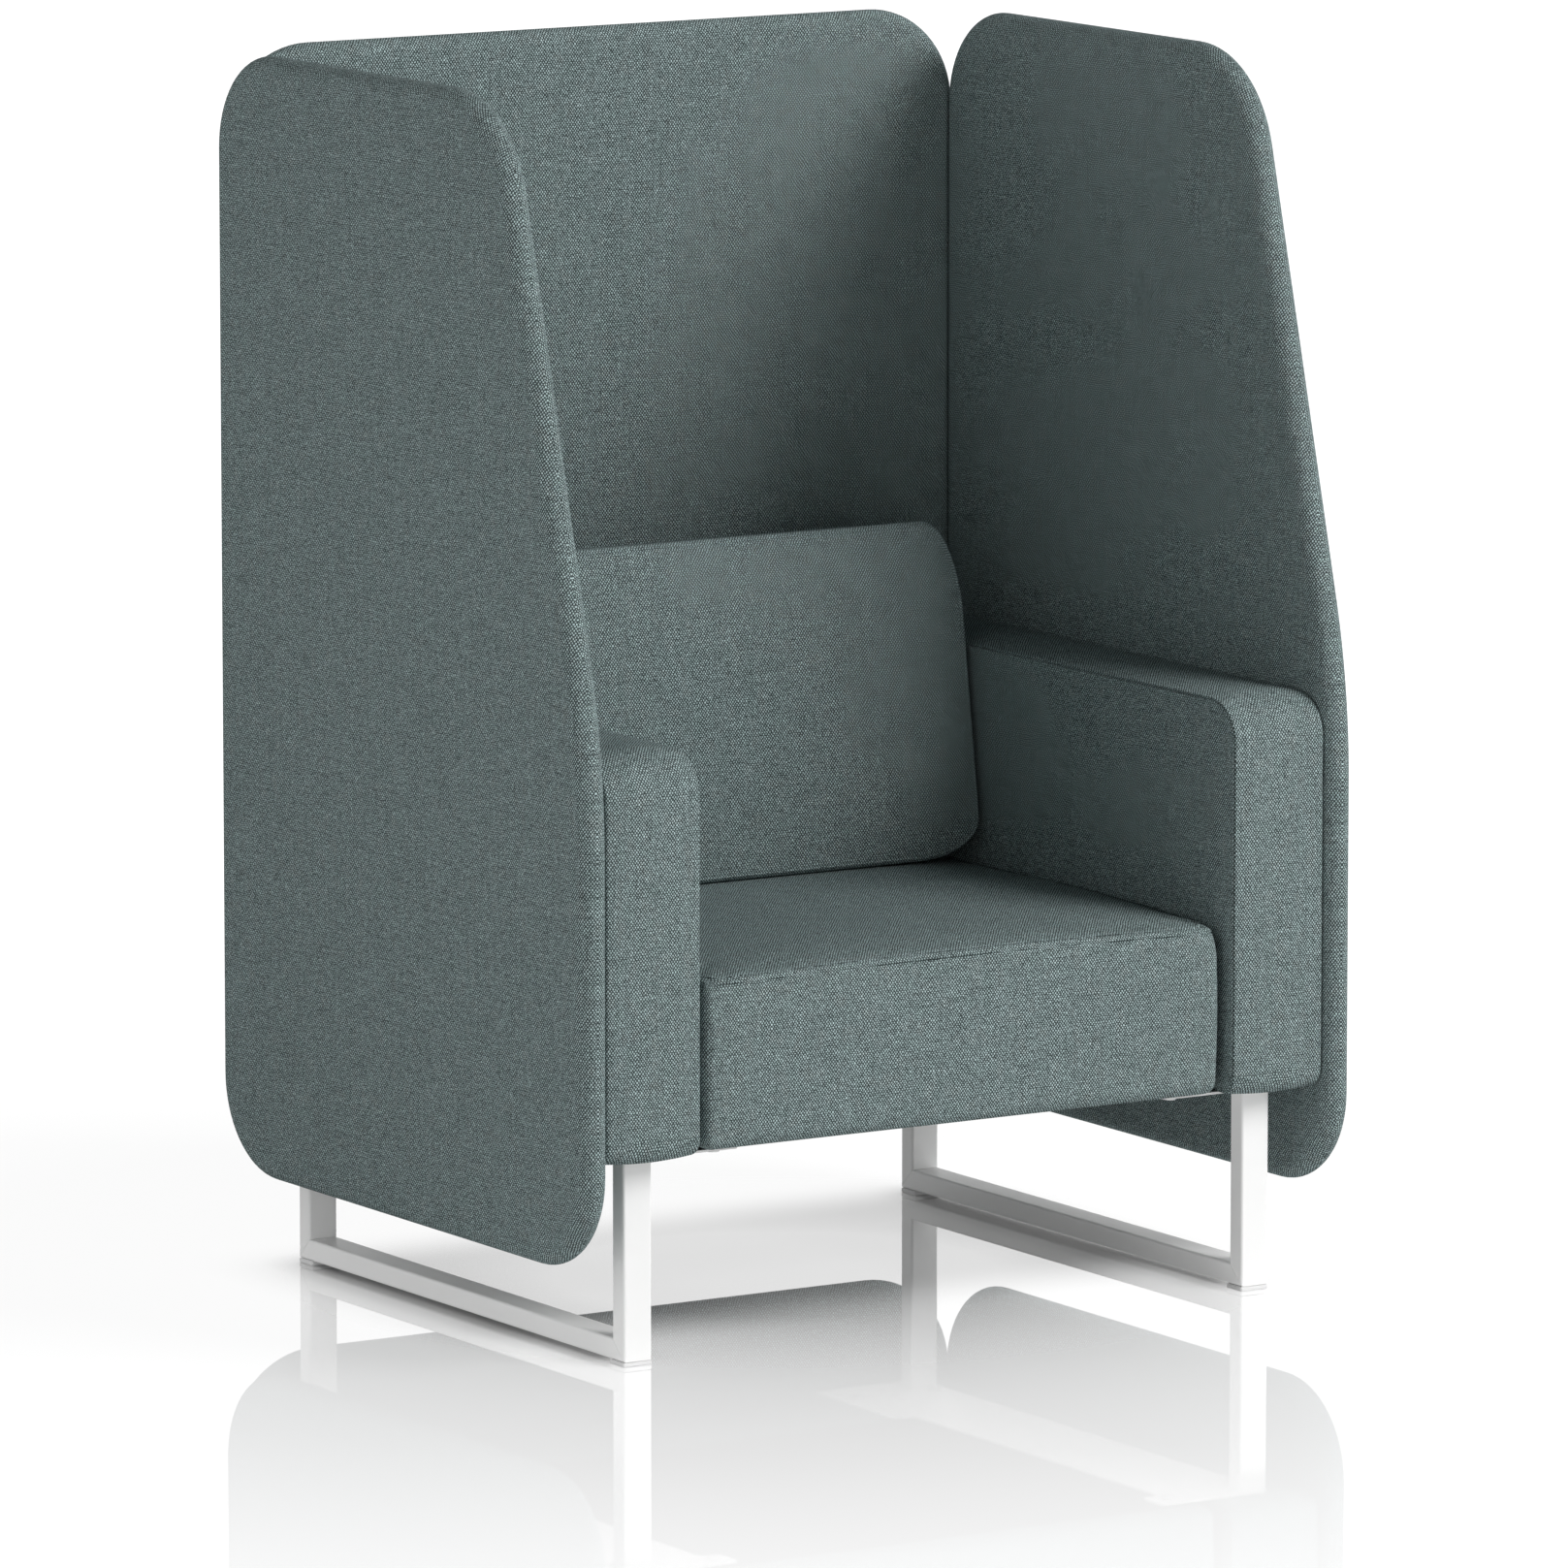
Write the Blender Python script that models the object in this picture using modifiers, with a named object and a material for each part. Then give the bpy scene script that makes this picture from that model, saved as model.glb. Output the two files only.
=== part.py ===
"""Privacy booth seat: an upholstered armchair on two sled legs, walled in by three padded screens.

Metres, +Z up, the front faces -Y. The floor is z = 0 and the booth is centred on x = 0, y = 0.
"""

import math

import bmesh
import bpy
from mathutils import Matrix
from mathutils import Vector

# Whole booth
booth_width = 1.000
booth_depth = 0.8274
booth_height = 1.376
fit_gap = 0.0003

# Screens: a stiff core in a padded cover with full round edges
screen_thickness = 0.034
screen_floor_gap = 0.112
screen_corner_radius = 0.110
screen_front_radius = 0.141
screen_bend_height = 0.677
screen_bend_radius = 0.790
screen_slant = math.radians(15.0)
screen_meeting_angle = math.radians(56.3)
screen_padding = 0.0085

# Sled legs of rectangular tube, with glides below and a long bracket on top of each pair
sled_arm_inset = 0.039
sled_front_setback = 0.0505
sled_rear_setback = 0.0689
tube_width = 0.036
tube_depth = 0.024
tube_wall = 0.002
tube_corner = 0.003
leg_top = 0.2286
glide_height = 0.0053
glide_length = 0.030
glide_edge = 0.0012
bracket_thickness = 0.0025
bracket_tab_reach = 0.144
bracket_waist_reach = 0.119
bracket_front_overhang = 0.005
bracket_rear_overhang = 0.018
bracket_front_tab = 0.040
bracket_rear_tab = 0.173
bracket_corner = 0.006
bracket_fillet = 0.012

# Arms
arm_width = 0.1197
arm_top = 0.678
arm_setback = 0.0095
arm_front_radius = 0.052
arm_lower_radius = 0.022
arm_rear_radius = 0.006
arm_edge_radius = 0.005
arm_top_crown = 0.005
arm_front_crown = 0.002
arm_padding = 0.017
outer_padding = 0.009

# Seat
seat_top = 0.434
seat_setback = 0.009
seat_side_gap = 0.0115
seat_corner_radius = 0.008
seat_lower_radius = 0.015
seat_seam_drop = 0.0125
seat_roll = 0.0065
seat_crown_reach = 0.150
seat_side_bulge = 0.002
seat_padding = 0.022
seat_lining_thickness = 0.0012
seat_lining_inset = 0.022
seat_frame_height = 0.055
seat_deck_thickness = 0.012

# Inner back behind the cushion
back_top = 0.735
back_top_thickness = 0.092
back_lean = math.radians(8.56)
back_side_gap = 0.003
back_edge_radius = 0.012
back_top_radius = 0.018
back_padding = 0.016

# Back cushion
cushion_height = 0.388
cushion_thickness = 0.158
cushion_side_gap = 0.009
cushion_corner_radius = 0.042
cushion_edge_radius = 0.011
cushion_crown = 0.008
cushion_crown_reach = 0.100
cushion_draw = 0.003

# Sewn seams, drawn in between the panels that they join
seam_depth = 0.0012
seam_width = 0.003

# Timber members and fixings
timber_width = 0.055
bolt_diameter = 0.008
bolt_head_diameter = 0.014
bolt_head_height = 0.004
bolt_bite = 0.030
bolt_step = 0.021
stud_diameter = 0.008
stud_bite = 0.012
stud_height = 0.500
dowel_diameter = 0.006
dowel_length = 0.044
low_dowel_height = 0.400
high_dowel_height = 1.100

# Smoothness of round edges
quarter_steps = 6
round_sides = 12

# Places that follow from the sizes above
front = -booth_depth / 2
rear = booth_depth / 2
half_screen = screen_thickness / 2
screen_inner_face = booth_width / 2 - screen_thickness
side_screen_middle = booth_width / 2 - half_screen
back_screen_middle = rear - half_screen
side_screen_rear = rear - (screen_thickness + fit_gap) * math.sin(screen_meeting_angle)
meeting_step = (screen_thickness + fit_gap) * math.cos(screen_meeting_angle)
back_screen_half_width = booth_width / 2 - meeting_step
back_screen_front = rear - screen_thickness

arm_outer = screen_inner_face - fit_gap
arm_inner = arm_outer - arm_width
arm_front = front + arm_setback
block_rear = back_screen_front - fit_gap

glide_top = glide_height + fit_gap
sled_outer = arm_inner + sled_arm_inset + tube_width
sled_middle = sled_outer - tube_width / 2
sled_front = front + sled_front_setback
sled_rear = rear - sled_rear_setback
bracket_front = sled_front - bracket_front_overhang
bracket_rear = sled_rear + bracket_rear_overhang
bracket_tab_end = sled_outer - bracket_tab_reach
bracket_waist = sled_outer - bracket_waist_reach
bracket_bottom = leg_top + fit_gap
bracket_top = bracket_bottom + bracket_thickness
underside = bracket_top + fit_gap

back_top_front = block_rear - back_top_thickness
back_foot_front = back_top_front - (back_top - underside) * math.tan(back_lean)
back_half_width = arm_inner - back_side_gap

seat_half_width = arm_inner - seat_side_gap
seat_front = arm_front + seat_setback
seat_rear = back_foot_front - fit_gap
seat_bottom = underside + seat_lining_thickness + fit_gap


def clear_scene():
    for item in list(bpy.data.objects):
        bpy.data.objects.remove(item)


def new_collection(name):
    collection = bpy.data.collections.new(name)
    bpy.context.scene.collection.children.link(collection)
    return collection


def new_material(name, colour, roughness, metallic=0.0):
    material = bpy.data.materials.new(name)
    material.use_nodes = True
    shader = material.node_tree.nodes["Principled BSDF"]
    shader.inputs["Base Color"].default_value = (*colour, 1.0)
    shader.inputs["Roughness"].default_value = roughness
    shader.inputs["Metallic"].default_value = metallic
    return material


def add_part(name, mesh, material, location=(0, 0, 0), rotation=(0, 0, 0)):
    part = bpy.data.objects.new(name, mesh)
    part.location = location
    part.rotation_euler = rotation
    mesh.materials.clear()
    mesh.materials.append(material)
    mesh.shade_smooth()
    mesh.set_sharp_from_angle(angle=math.radians(40))
    booth.objects.link(part)
    return part


def add_cutter(name, mesh, location=(0, 0, 0), rotation=(0, 0, 0)):
    cutter = bpy.data.objects.new(name, mesh)
    cutter.location = location
    cutter.rotation_euler = rotation
    cutter.hide_render = True
    cutter.display_type = "WIRE"
    cutters.objects.link(cutter)
    return cutter


def cut(part, cutter):
    modifier = part.modifiers.new(cutter.name, "BOOLEAN")
    modifier.operation = "DIFFERENCE"
    modifier.solver = "EXACT"
    modifier.object = cutter


def rounded(corners):
    """Points round a closed outline of (across, up, radius) corners."""
    points = []
    for place, corner in enumerate(corners):
        here = Vector(corner[:2])
        following = corners[(place + 1) % len(corners)]
        to_last = (Vector(corners[place - 1][:2]) - here).normalized()
        to_next = (Vector(following[:2]) - here).normalized()
        half = to_last.angle(to_next) / 2
        radius = corner[2]
        if radius == 0:
            points.append(here)
            continue
        centre = here + (to_last + to_next).normalized() * radius / math.sin(half)
        start = (here + to_last * radius / math.tan(half) - centre).normalized()
        end = (here + to_next * radius / math.tan(half) - centre).normalized()
        turn = math.pi - 2 * half
        steps = max(3, round(quarter_steps * turn / (math.pi / 2)))
        for step in range(steps + 1):
            points.append(centre + start.slerp(end, step / steps) * radius)
    return points


def drawn_in(corners, distance):
    """The corners of the same outline, counter-clockwise, with every side moved inwards."""
    moved = []
    for place, corner in enumerate(corners):
        here = Vector(corner[:2])
        following = corners[(place + 1) % len(corners)]
        along_last = (here - Vector(corners[place - 1][:2])).normalized()
        along_next = (Vector(following[:2]) - here).normalized()
        inward_last = Vector((-along_last.y, along_last.x))
        inward_next = Vector((-along_next.y, along_next.x))
        share = distance / (1 + inward_last.dot(inward_next))
        spot = here + (inward_last + inward_next) * share
        radius = max(corner[2] - distance, 0) if corner[2] else 0
        moved.append((spot.x, spot.y, radius))
    return moved


def rectangle(left, bottom, right, top, radius):
    return [(left, bottom, radius), (right, bottom, radius), (right, top, radius), (left, top, radius)]


def circle(across, up, diameter):
    points = []
    for step in range(round_sides):
        angle = 2 * math.pi * step / round_sides
        points.append(Vector((across + diameter / 2 * math.cos(angle), up + diameter / 2 * math.sin(angle))))
    return points


def closed_mesh(name, work):
    bmesh.ops.remove_doubles(work, verts=work.verts, dist=1e-6)
    bmesh.ops.recalc_face_normals(work, faces=work.faces)
    mesh = bpy.data.meshes.new(name)
    work.to_mesh(mesh)
    work.free()
    return mesh


def slab(name, outlines, thickness, round_edge=False):
    """A flat piece from an outline and any holes in it, with square or full round edges."""
    curve = bpy.data.curves.new(name, "CURVE")
    curve.dimensions = "2D"
    curve.fill_mode = "BOTH"
    curve.extrude = thickness / 2
    if round_edge:
        curve.extrude = 0
        curve.bevel_depth = thickness / 2
        curve.bevel_resolution = 2
    for points in outlines:
        spline = curve.splines.new("POLY")
        spline.points.add(len(points) - 1)
        spline.use_cyclic_u = True
        for target, point in zip(spline.points, points):
            target.co = (point.x, point.y, 0, 1)
    guide = bpy.data.objects.new(name, curve)
    bpy.context.scene.collection.objects.link(guide)
    graph = bpy.context.evaluated_depsgraph_get()
    flat = bpy.data.meshes.new_from_object(guide.evaluated_get(graph))
    bpy.data.objects.remove(guide)
    bpy.data.curves.remove(curve)
    work = bmesh.new()
    work.from_mesh(flat)
    bpy.data.meshes.remove(flat)
    return closed_mesh(name, work)


def loft(name, rings):
    """A closed skin over rings that have the same number of points."""
    work = bmesh.new()
    made = [[work.verts.new(point) for point in ring] for ring in rings]
    for lower, upper in zip(made, made[1:]):
        for place in range(len(lower)):
            work.faces.new((lower[place - 1], lower[place], upper[place], upper[place - 1]))
    work.faces.new(made[0])
    work.faces.new(made[-1])
    return closed_mesh(name, work)


def box(name, low, high):
    work = bmesh.new()
    bmesh.ops.create_cube(work, size=1)
    size = Vector(high) - Vector(low)
    bmesh.ops.scale(work, vec=size, verts=work.verts)
    bmesh.ops.translate(work, vec=(Vector(high) + Vector(low)) / 2, verts=work.verts)
    return closed_mesh(name, work)


def rod(name, diameter, length):
    work = bmesh.new()
    bmesh.ops.create_cone(
        work, cap_ends=True, segments=round_sides, radius1=diameter / 2, radius2=diameter / 2, depth=length
    )
    return closed_mesh(name, work)


def quarter_round(radius, steps):
    """(drawn in, risen) round an edge, from the full outline up to the flat."""
    places = []
    for step in range(1, steps + 1):
        angle = math.pi / 2 * step / steps
        places.append((radius * (1 - math.cos(angle)), radius * math.sin(angle)))
    return places


def padded_rings(profile, low_x, high_x, edge_radius, top_crown, front_crown, bottom, back):
    """Rings across X of a (y, z) profile that is fullest in the middle and rounds off at both ends."""
    rings = []
    stations = 10
    length = max(back - point.x for point in profile)
    height = max(point.y - bottom for point in profile)
    for station in range(stations + 1):
        offset = -math.cos(math.pi * station / stations)
        across = (low_x + high_x) / 2 + offset * (high_x - low_x) / 2
        to_edge = min(across - low_x, high_x - across)
        hollow = max(edge_radius - to_edge, 0)
        edge_draw = edge_radius - math.sqrt(edge_radius**2 - hollow**2)
        front_share = 1 - (edge_draw + front_crown * offset**2) / length
        top_share = 1 - (edge_draw + top_crown * offset**2) / height
        ring = []
        for point in profile:
            deep = back - (back - point.x) * front_share
            high = bottom + (point.y - bottom) * top_share
            ring.append((across, deep, high))
        rings.append(ring)
    return rings


SIDEWAYS = (math.pi / 2, 0, math.pi / 2)
FACING = (math.pi / 2, 0, 0)

clear_scene()
booth = new_collection("privacy_booth_seat")
cutters = new_collection("cutters")

fabric = new_material("woven_fabric", (0.118, 0.152, 0.163), 0.95)
core_board = new_material("core_board", (0.42, 0.33, 0.23), 0.8)
timber = new_material("timber", (0.55, 0.40, 0.25), 0.7)
dark_cloth = new_material("dark_cloth", (0.02, 0.02, 0.022), 0.9)
white_steel = new_material("white_steel", (0.85, 0.85, 0.84), 0.35)
grey_plastic = new_material("grey_plastic", (0.45, 0.45, 0.45), 0.55)
zinc_steel = new_material("zinc_steel", (0.6, 0.6, 0.6), 0.35, 1.0)

sides = (("left", -1), ("right", 1))


def side_screen_corners():
    slant_top = front + (booth_height - screen_bend_height) * math.tan(screen_slant)
    return [
        (front, screen_floor_gap, screen_corner_radius),
        (side_screen_rear, screen_floor_gap, screen_corner_radius),
        (side_screen_rear, booth_height, screen_corner_radius),
        (slant_top, booth_height, screen_front_radius),
        (front, screen_bend_height, screen_bend_radius),
    ]


def back_screen_corners():
    half = back_screen_half_width
    return rectangle(-half, screen_floor_gap, half, booth_height, screen_corner_radius)


def screen(name, corners, location, rotation):
    """A core board in a padded cover that is open along the lower edge, where the core is slid in."""
    cover_mesh = slab(name + "_cover", [rounded(drawn_in(corners, half_screen))], screen_thickness, True)
    cover = add_part(name + "_cover", cover_mesh, fabric, location, rotation)
    core_thickness = screen_thickness - 2 * screen_padding
    core_outline = drawn_in(corners, screen_padding)
    core_mesh = slab(name + "_core", [rounded(core_outline)], core_thickness)
    core = add_part(name + "_core", core_mesh, core_board, location, rotation)
    pocket_thickness = core_thickness + 2 * fit_gap
    pocket_outline = rounded(drawn_in(corners, screen_padding - fit_gap))
    cut(cover, add_cutter(name + "_pocket", slab(name + "_pocket", [pocket_outline], pocket_thickness), location, rotation))
    left = min(corner[0] for corner in corners) + screen_corner_radius
    right = max(corner[0] for corner in corners) - screen_corner_radius
    lower = screen_floor_gap - screen_padding
    upper = screen_floor_gap + 2 * screen_padding
    mouth_outline = rounded(rectangle(left, lower, right, upper, 0))
    cut(cover, add_cutter(name + "_mouth", slab(name + "_mouth", [mouth_outline], pocket_thickness), location, rotation))
    return cover, core


screens = {}
for side, sign in sides:
    place = (sign * side_screen_middle, 0, 0)
    screens[side] = screen(side + "_screen", side_screen_corners(), place, SIDEWAYS)
screens["back"] = screen("back_screen", back_screen_corners(), (0, back_screen_middle, 0), FACING)


def arm_frame_corners(bottom):
    """The (y, z) corners of the frame inside an arm."""
    frame_front = arm_front + arm_padding
    frame_rear = block_rear - outer_padding
    frame_top = arm_top - arm_top_crown - arm_padding
    return [
        (frame_front, bottom, 0),
        (frame_rear, bottom, 0),
        (frame_rear, frame_top, 0),
        (frame_front, frame_top, arm_front_radius - arm_padding / 2),
    ]


def arm(side, sign):
    """An arm frame under foam and fabric that is open below, where the fabric is tacked to the frame."""
    corners = [
        (arm_front, underside, arm_lower_radius),
        (block_rear, underside, arm_rear_radius),
        (block_rear, arm_top, arm_rear_radius),
        (arm_front, arm_top, arm_front_radius),
    ]
    rings = padded_rings(
        rounded(corners), arm_inner, arm_outer, arm_edge_radius, arm_top_crown, arm_front_crown, underside, block_rear
    )
    if sign < 0:
        rings = [[(-point[0], point[1], point[2]) for point in ring] for ring in rings]
    cover = add_part(side + "_arm_cover", loft(side + "_arm_cover", rings), fabric)
    frame_inner = arm_inner + arm_padding
    frame_outer = arm_outer - outer_padding
    outline = arm_frame_corners(underside)
    window = drawn_in(outline, timber_width)
    middle = sign * (frame_inner + frame_outer) / 2
    frame_mesh = slab(side + "_arm_frame", [rounded(outline), rounded(window)], frame_outer - frame_inner)
    frame = add_part(side + "_arm_frame", frame_mesh, timber, (middle, 0, 0), SIDEWAYS)
    hollow = drawn_in(arm_frame_corners(underside - arm_padding), -fit_gap)
    hollow_mesh = slab(side + "_arm_hollow", [rounded(hollow)], frame_outer - frame_inner + 2 * fit_gap)
    cut(cover, add_cutter(side + "_arm_hollow", hollow_mesh, (middle, 0, 0), SIDEWAYS))
    return cover, frame


arms = {side: arm(side, sign) for side, sign in sides}


def leaning_profile(padding, bottom):
    """The (y, z) corners of the inner back, drawn in by its padding but for its lower end."""
    slope = math.tan(back_lean)
    top = back_top - padding
    back_face = block_rear - min(padding, outer_padding)
    step = padding / math.cos(back_lean)
    low_front = back_top_front - (back_top - bottom) * slope + step
    top_front = back_top_front - (back_top - top) * slope + step
    radius = max(back_top_radius - padding, 0)
    edge = max(arm_rear_radius - padding, 0)
    return [(low_front, bottom, edge), (back_face, bottom, edge), (back_face, top, edge), (top_front, top, radius)]


def inner_back():
    """The upholstered back that carries the cushion, with a timber frame inside."""
    rings = padded_rings(
        rounded(leaning_profile(0, underside)), -back_half_width, back_half_width, back_edge_radius, 0, 0, underside, block_rear
    )
    cover = add_part("inner_back_cover", loft("inner_back_cover", rings), fabric)
    half = back_half_width - back_padding
    frame_mesh = slab("inner_back_frame", [rounded(leaning_profile(back_padding, underside))], 2 * half)
    frame = add_part("inner_back_frame", frame_mesh, timber, (0, 0, 0), SIDEWAYS)
    window = rectangle(
        timber_width - half,
        underside + timber_width,
        half - timber_width,
        back_top - back_padding - timber_width,
        0,
    )
    window_mesh = slab("inner_back_window", [rounded(window)], 2 * booth_depth)
    cut(frame, add_cutter("inner_back_window", window_mesh, (0, 0, 0), FACING))
    hollow = drawn_in(leaning_profile(back_padding, underside - back_padding), -fit_gap)
    hollow_mesh = slab("inner_back_hollow", [rounded(hollow)], 2 * (half + fit_gap))
    cut(cover, add_cutter("inner_back_hollow", hollow_mesh, (0, 0, 0), SIDEWAYS))
    return cover, frame


back_cover, back_frame = inner_back()


def seat_ring(draw, height):
    """The seat's outline seen from above, drawn in by a distance, at one height."""
    width_share = 1 - draw / seat_half_width
    middle = (seat_front + seat_rear) / 2
    depth_share = 1 - 2 * draw / (seat_rear - seat_front)
    corners = rectangle(-seat_half_width, seat_front, seat_half_width, seat_rear, seat_corner_radius)
    return [(point.x * width_share, middle + (point.y - middle) * depth_share, height) for point in rounded(corners)]


def seat_rings():
    """Rings from the rounded lower edge, up the full sides to the seam, then over the roll and the crown."""
    seam = seat_top - seat_seam_drop
    side_low = seat_bottom + seat_lower_radius
    side_high = seam - seam_width / 2
    rings = [seat_ring(seat_lower_radius + seat_side_bulge, seat_bottom)]
    for draw, rise in reversed(quarter_round(seat_lower_radius, 3)[:2]):
        rings.append(seat_ring(draw + seat_side_bulge, side_low - rise))
    side_steps = 4
    for step in range(side_steps + 1):
        share = step / side_steps
        draw = seat_side_bulge * (1 - math.sin(math.pi * share))
        rings.append(seat_ring(draw, side_low + (side_high - side_low) * share))
    rings.append(seat_ring(seat_side_bulge + seam_depth, seam))
    roll_low = seam + seam_width / 2
    rings.append(seat_ring(seat_side_bulge, roll_low))
    for draw, rise in quarter_round(seat_roll, 3):
        rings.append(seat_ring(seat_side_bulge + draw, roll_low + rise))
    crown = seat_top - roll_low - seat_roll
    crown_steps = 4
    for step in range(1, crown_steps + 1):
        share = step / crown_steps
        draw = seat_side_bulge + seat_roll + (seat_crown_reach - seat_roll) * share
        rings.append(seat_ring(draw, seat_top - crown * (1 - share) ** 2))
    return rings


def seat():
    """A foam seat over a deck board and a timber frame, closed below by a lining cloth."""
    cover = add_part("seat_cover", loft("seat_cover", seat_rings()), fabric)
    low_x = seat_padding - seat_half_width
    low_y = seat_front + seat_padding
    high_x = seat_half_width - seat_padding
    high_y = seat_rear - seat_padding
    outer = rectangle(low_x, low_y, high_x, high_y, 0)
    inner = drawn_in(outer, timber_width)
    frame_middle = seat_bottom + seat_frame_height / 2
    frame_mesh = slab("seat_frame", [rounded(outer), rounded(inner)], seat_frame_height)
    frame = add_part("seat_frame", frame_mesh, timber, (0, 0, frame_middle))
    deck_bottom = seat_bottom + seat_frame_height + fit_gap
    deck_mesh = slab("seat_deck", [rounded(outer)], seat_deck_thickness)
    add_part("seat_deck", deck_mesh, core_board, (0, 0, deck_bottom + seat_deck_thickness / 2))
    hollow_low = (low_x - fit_gap, low_y - fit_gap, seat_bottom - seat_padding)
    hollow_high = (high_x + fit_gap, high_y + fit_gap, deck_bottom + seat_deck_thickness + fit_gap)
    cut(cover, add_cutter("seat_hollow", box("seat_hollow", hollow_low, hollow_high)))
    cloth = rectangle(
        seat_lining_inset - seat_half_width,
        seat_front + seat_lining_inset,
        seat_half_width - seat_lining_inset,
        seat_rear - seat_lining_inset,
        0,
    )
    lining_mesh = slab("seat_lining", [rounded(cloth)], seat_lining_thickness)
    lining = add_part("seat_lining", lining_mesh, dark_cloth, (0, 0, underside + seat_lining_thickness / 2))
    return frame, lining


seat_frame, seat_lining = seat()


def cushion_ring(draw, depth):
    """The cushion's outline in its own leaning plane, drawn in by a distance, at one depth from its back.

    The lower end rises towards the back, so that it lies level on the seat once the cushion leans.
    """
    half = arm_inner - cushion_side_gap
    width_share = 1 - draw / half
    lift = (cushion_thickness - depth) * math.tan(back_lean)
    height_share = 1 - (2 * draw + lift) / cushion_height
    corners = rectangle(-half, -cushion_height, half, 0, cushion_corner_radius)
    return [(point.x * width_share, point.y * height_share - draw, depth) for point in rounded(corners)]


def cushion_rings():
    """Rings from the back panel, over the drawn-in side strip and its seam, to the crowned front panel."""
    edge = cushion_edge_radius
    front_edge = cushion_thickness - cushion_crown - edge
    side_end = front_edge - seam_width
    rings = [cushion_ring(edge, 0)]
    for draw, rise in reversed(quarter_round(edge, 3)[:2]):
        rings.append(cushion_ring(draw, edge - rise))
    side_steps = 4
    for step in range(side_steps + 1):
        share = step / side_steps
        rings.append(cushion_ring(cushion_draw * math.sin(math.pi * share), edge + (side_end - edge) * share))
    rings.append(cushion_ring(seam_depth, front_edge - seam_width / 2))
    rings.append(cushion_ring(0, front_edge))
    for draw, rise in quarter_round(edge, 3):
        rings.append(cushion_ring(draw, front_edge + rise))
    crown_steps = 5
    for step in range(1, crown_steps + 1):
        share = step / crown_steps
        draw = edge + (cushion_crown_reach - edge) * share
        rings.append(cushion_ring(draw, cushion_thickness - cushion_crown * (1 - share) ** 2))
    return rings


def back_cushion():
    """The cushion leans on the inner back and stands on the seat."""
    mesh = loft("back_cushion", cushion_rings())
    lean = Matrix.Rotation(math.pi / 2 - back_lean, 3, "X")
    lowest = min((lean @ vertex.co).z for vertex in mesh.vertices)
    height = seat_top + fit_gap - lowest
    back_plane = back_top_front - (back_top - height) * math.tan(back_lean)
    deep = back_plane - fit_gap / math.cos(back_lean)
    add_part("back_cushion", mesh, fabric, (0, deep, height), (math.pi / 2 - back_lean, 0, 0))


back_cushion()


def tube_outlines(across, deep):
    outer = rectangle(-across / 2, -deep / 2, across / 2, deep / 2, tube_corner)
    return [rounded(outer), rounded(drawn_in(outer, tube_wall))]


def mitre_cutters(name, corner_y, inward):
    """Two half spaces on either side of the mitre that runs from an outer lower corner of the sled, up and inwards."""
    reach = 2 * leg_top
    pair = []
    for part, above in (("leg", -1), ("rail", 1)):
        block = box(name + "_" + part, (-booth_width, -reach, 0), (booth_width, reach, reach))
        turn = inward * math.pi / 4
        if above < 0:
            turn += math.pi
        shift = -above * fit_gap / 2
        away = Vector((0, -inward, 1)).normalized() * shift
        place = (0, corner_y + away.y, glide_top + away.z)
        pair.append(add_cutter(name + "_" + part, block, place, (turn, 0, 0)))
    return pair


front_leg_cutter, front_rail_cutter = mitre_cutters("front_mitre", sled_front, 1)
rear_leg_cutter, rear_rail_cutter = mitre_cutters("rear_mitre", sled_rear, -1)


def sled(side, sign):
    """Two legs and a floor rail, mitred at the lower corners, with a glide under each corner."""
    across = sign * sled_middle
    leg_height = leg_top - glide_top
    leg_middle = glide_top + leg_height / 2
    ends = (
        ("front", sled_front, 1, front_leg_cutter),
        ("rear", sled_rear, -1, rear_leg_cutter),
    )
    for end, outer_y, inward, leg_cutter in ends:
        name = side + "_" + end
        leg_mesh = slab(name + "_leg", tube_outlines(tube_width, tube_depth), leg_height)
        leg = add_part(name + "_leg", leg_mesh, white_steel, (across, outer_y + inward * tube_depth / 2, leg_middle))
        cut(leg, leg_cutter)
        glide_y = outer_y + inward * glide_length / 2
        glide_mesh = box(
            name + "_glide",
            (-tube_width / 2, -glide_length / 2, 0),
            (tube_width / 2, glide_length / 2, glide_height),
        )
        glide = add_part(name + "_glide", glide_mesh, grey_plastic, (across, glide_y, 0))
        edge = glide.modifiers.new("edge", "BEVEL")
        edge.width = glide_edge
        edge.segments = 1
    rail_mesh = slab(side + "_rail", tube_outlines(tube_width, tube_depth), sled_rear - sled_front)
    rail_place = (across, (sled_front + sled_rear) / 2, glide_top + tube_depth / 2)
    rail = add_part(side + "_rail", rail_mesh, white_steel, rail_place, FACING)
    cut(rail, front_rail_cutter)
    cut(rail, rear_rail_cutter)


def bolt_spots(sign):
    """Where a bracket is bolted: under the arm behind each leg, under the seat, and under the inner back."""
    arm_front_bolt = sled_front + tube_depth + bolt_step
    arm_rear_bolt = sled_rear - tube_depth - bolt_step
    seat_bolt = bracket_front + bracket_front_tab / 2
    tab_bolt = bracket_tab_end + bolt_step
    return {
        "front_arm_bolt": (sign * sled_middle, arm_front_bolt),
        "rear_arm_bolt": (sign * sled_middle, arm_rear_bolt),
        "seat_bolt": (sign * tab_bolt, seat_bolt),
        "back_bolt": (sign * tab_bolt, arm_rear_bolt),
    }


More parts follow.
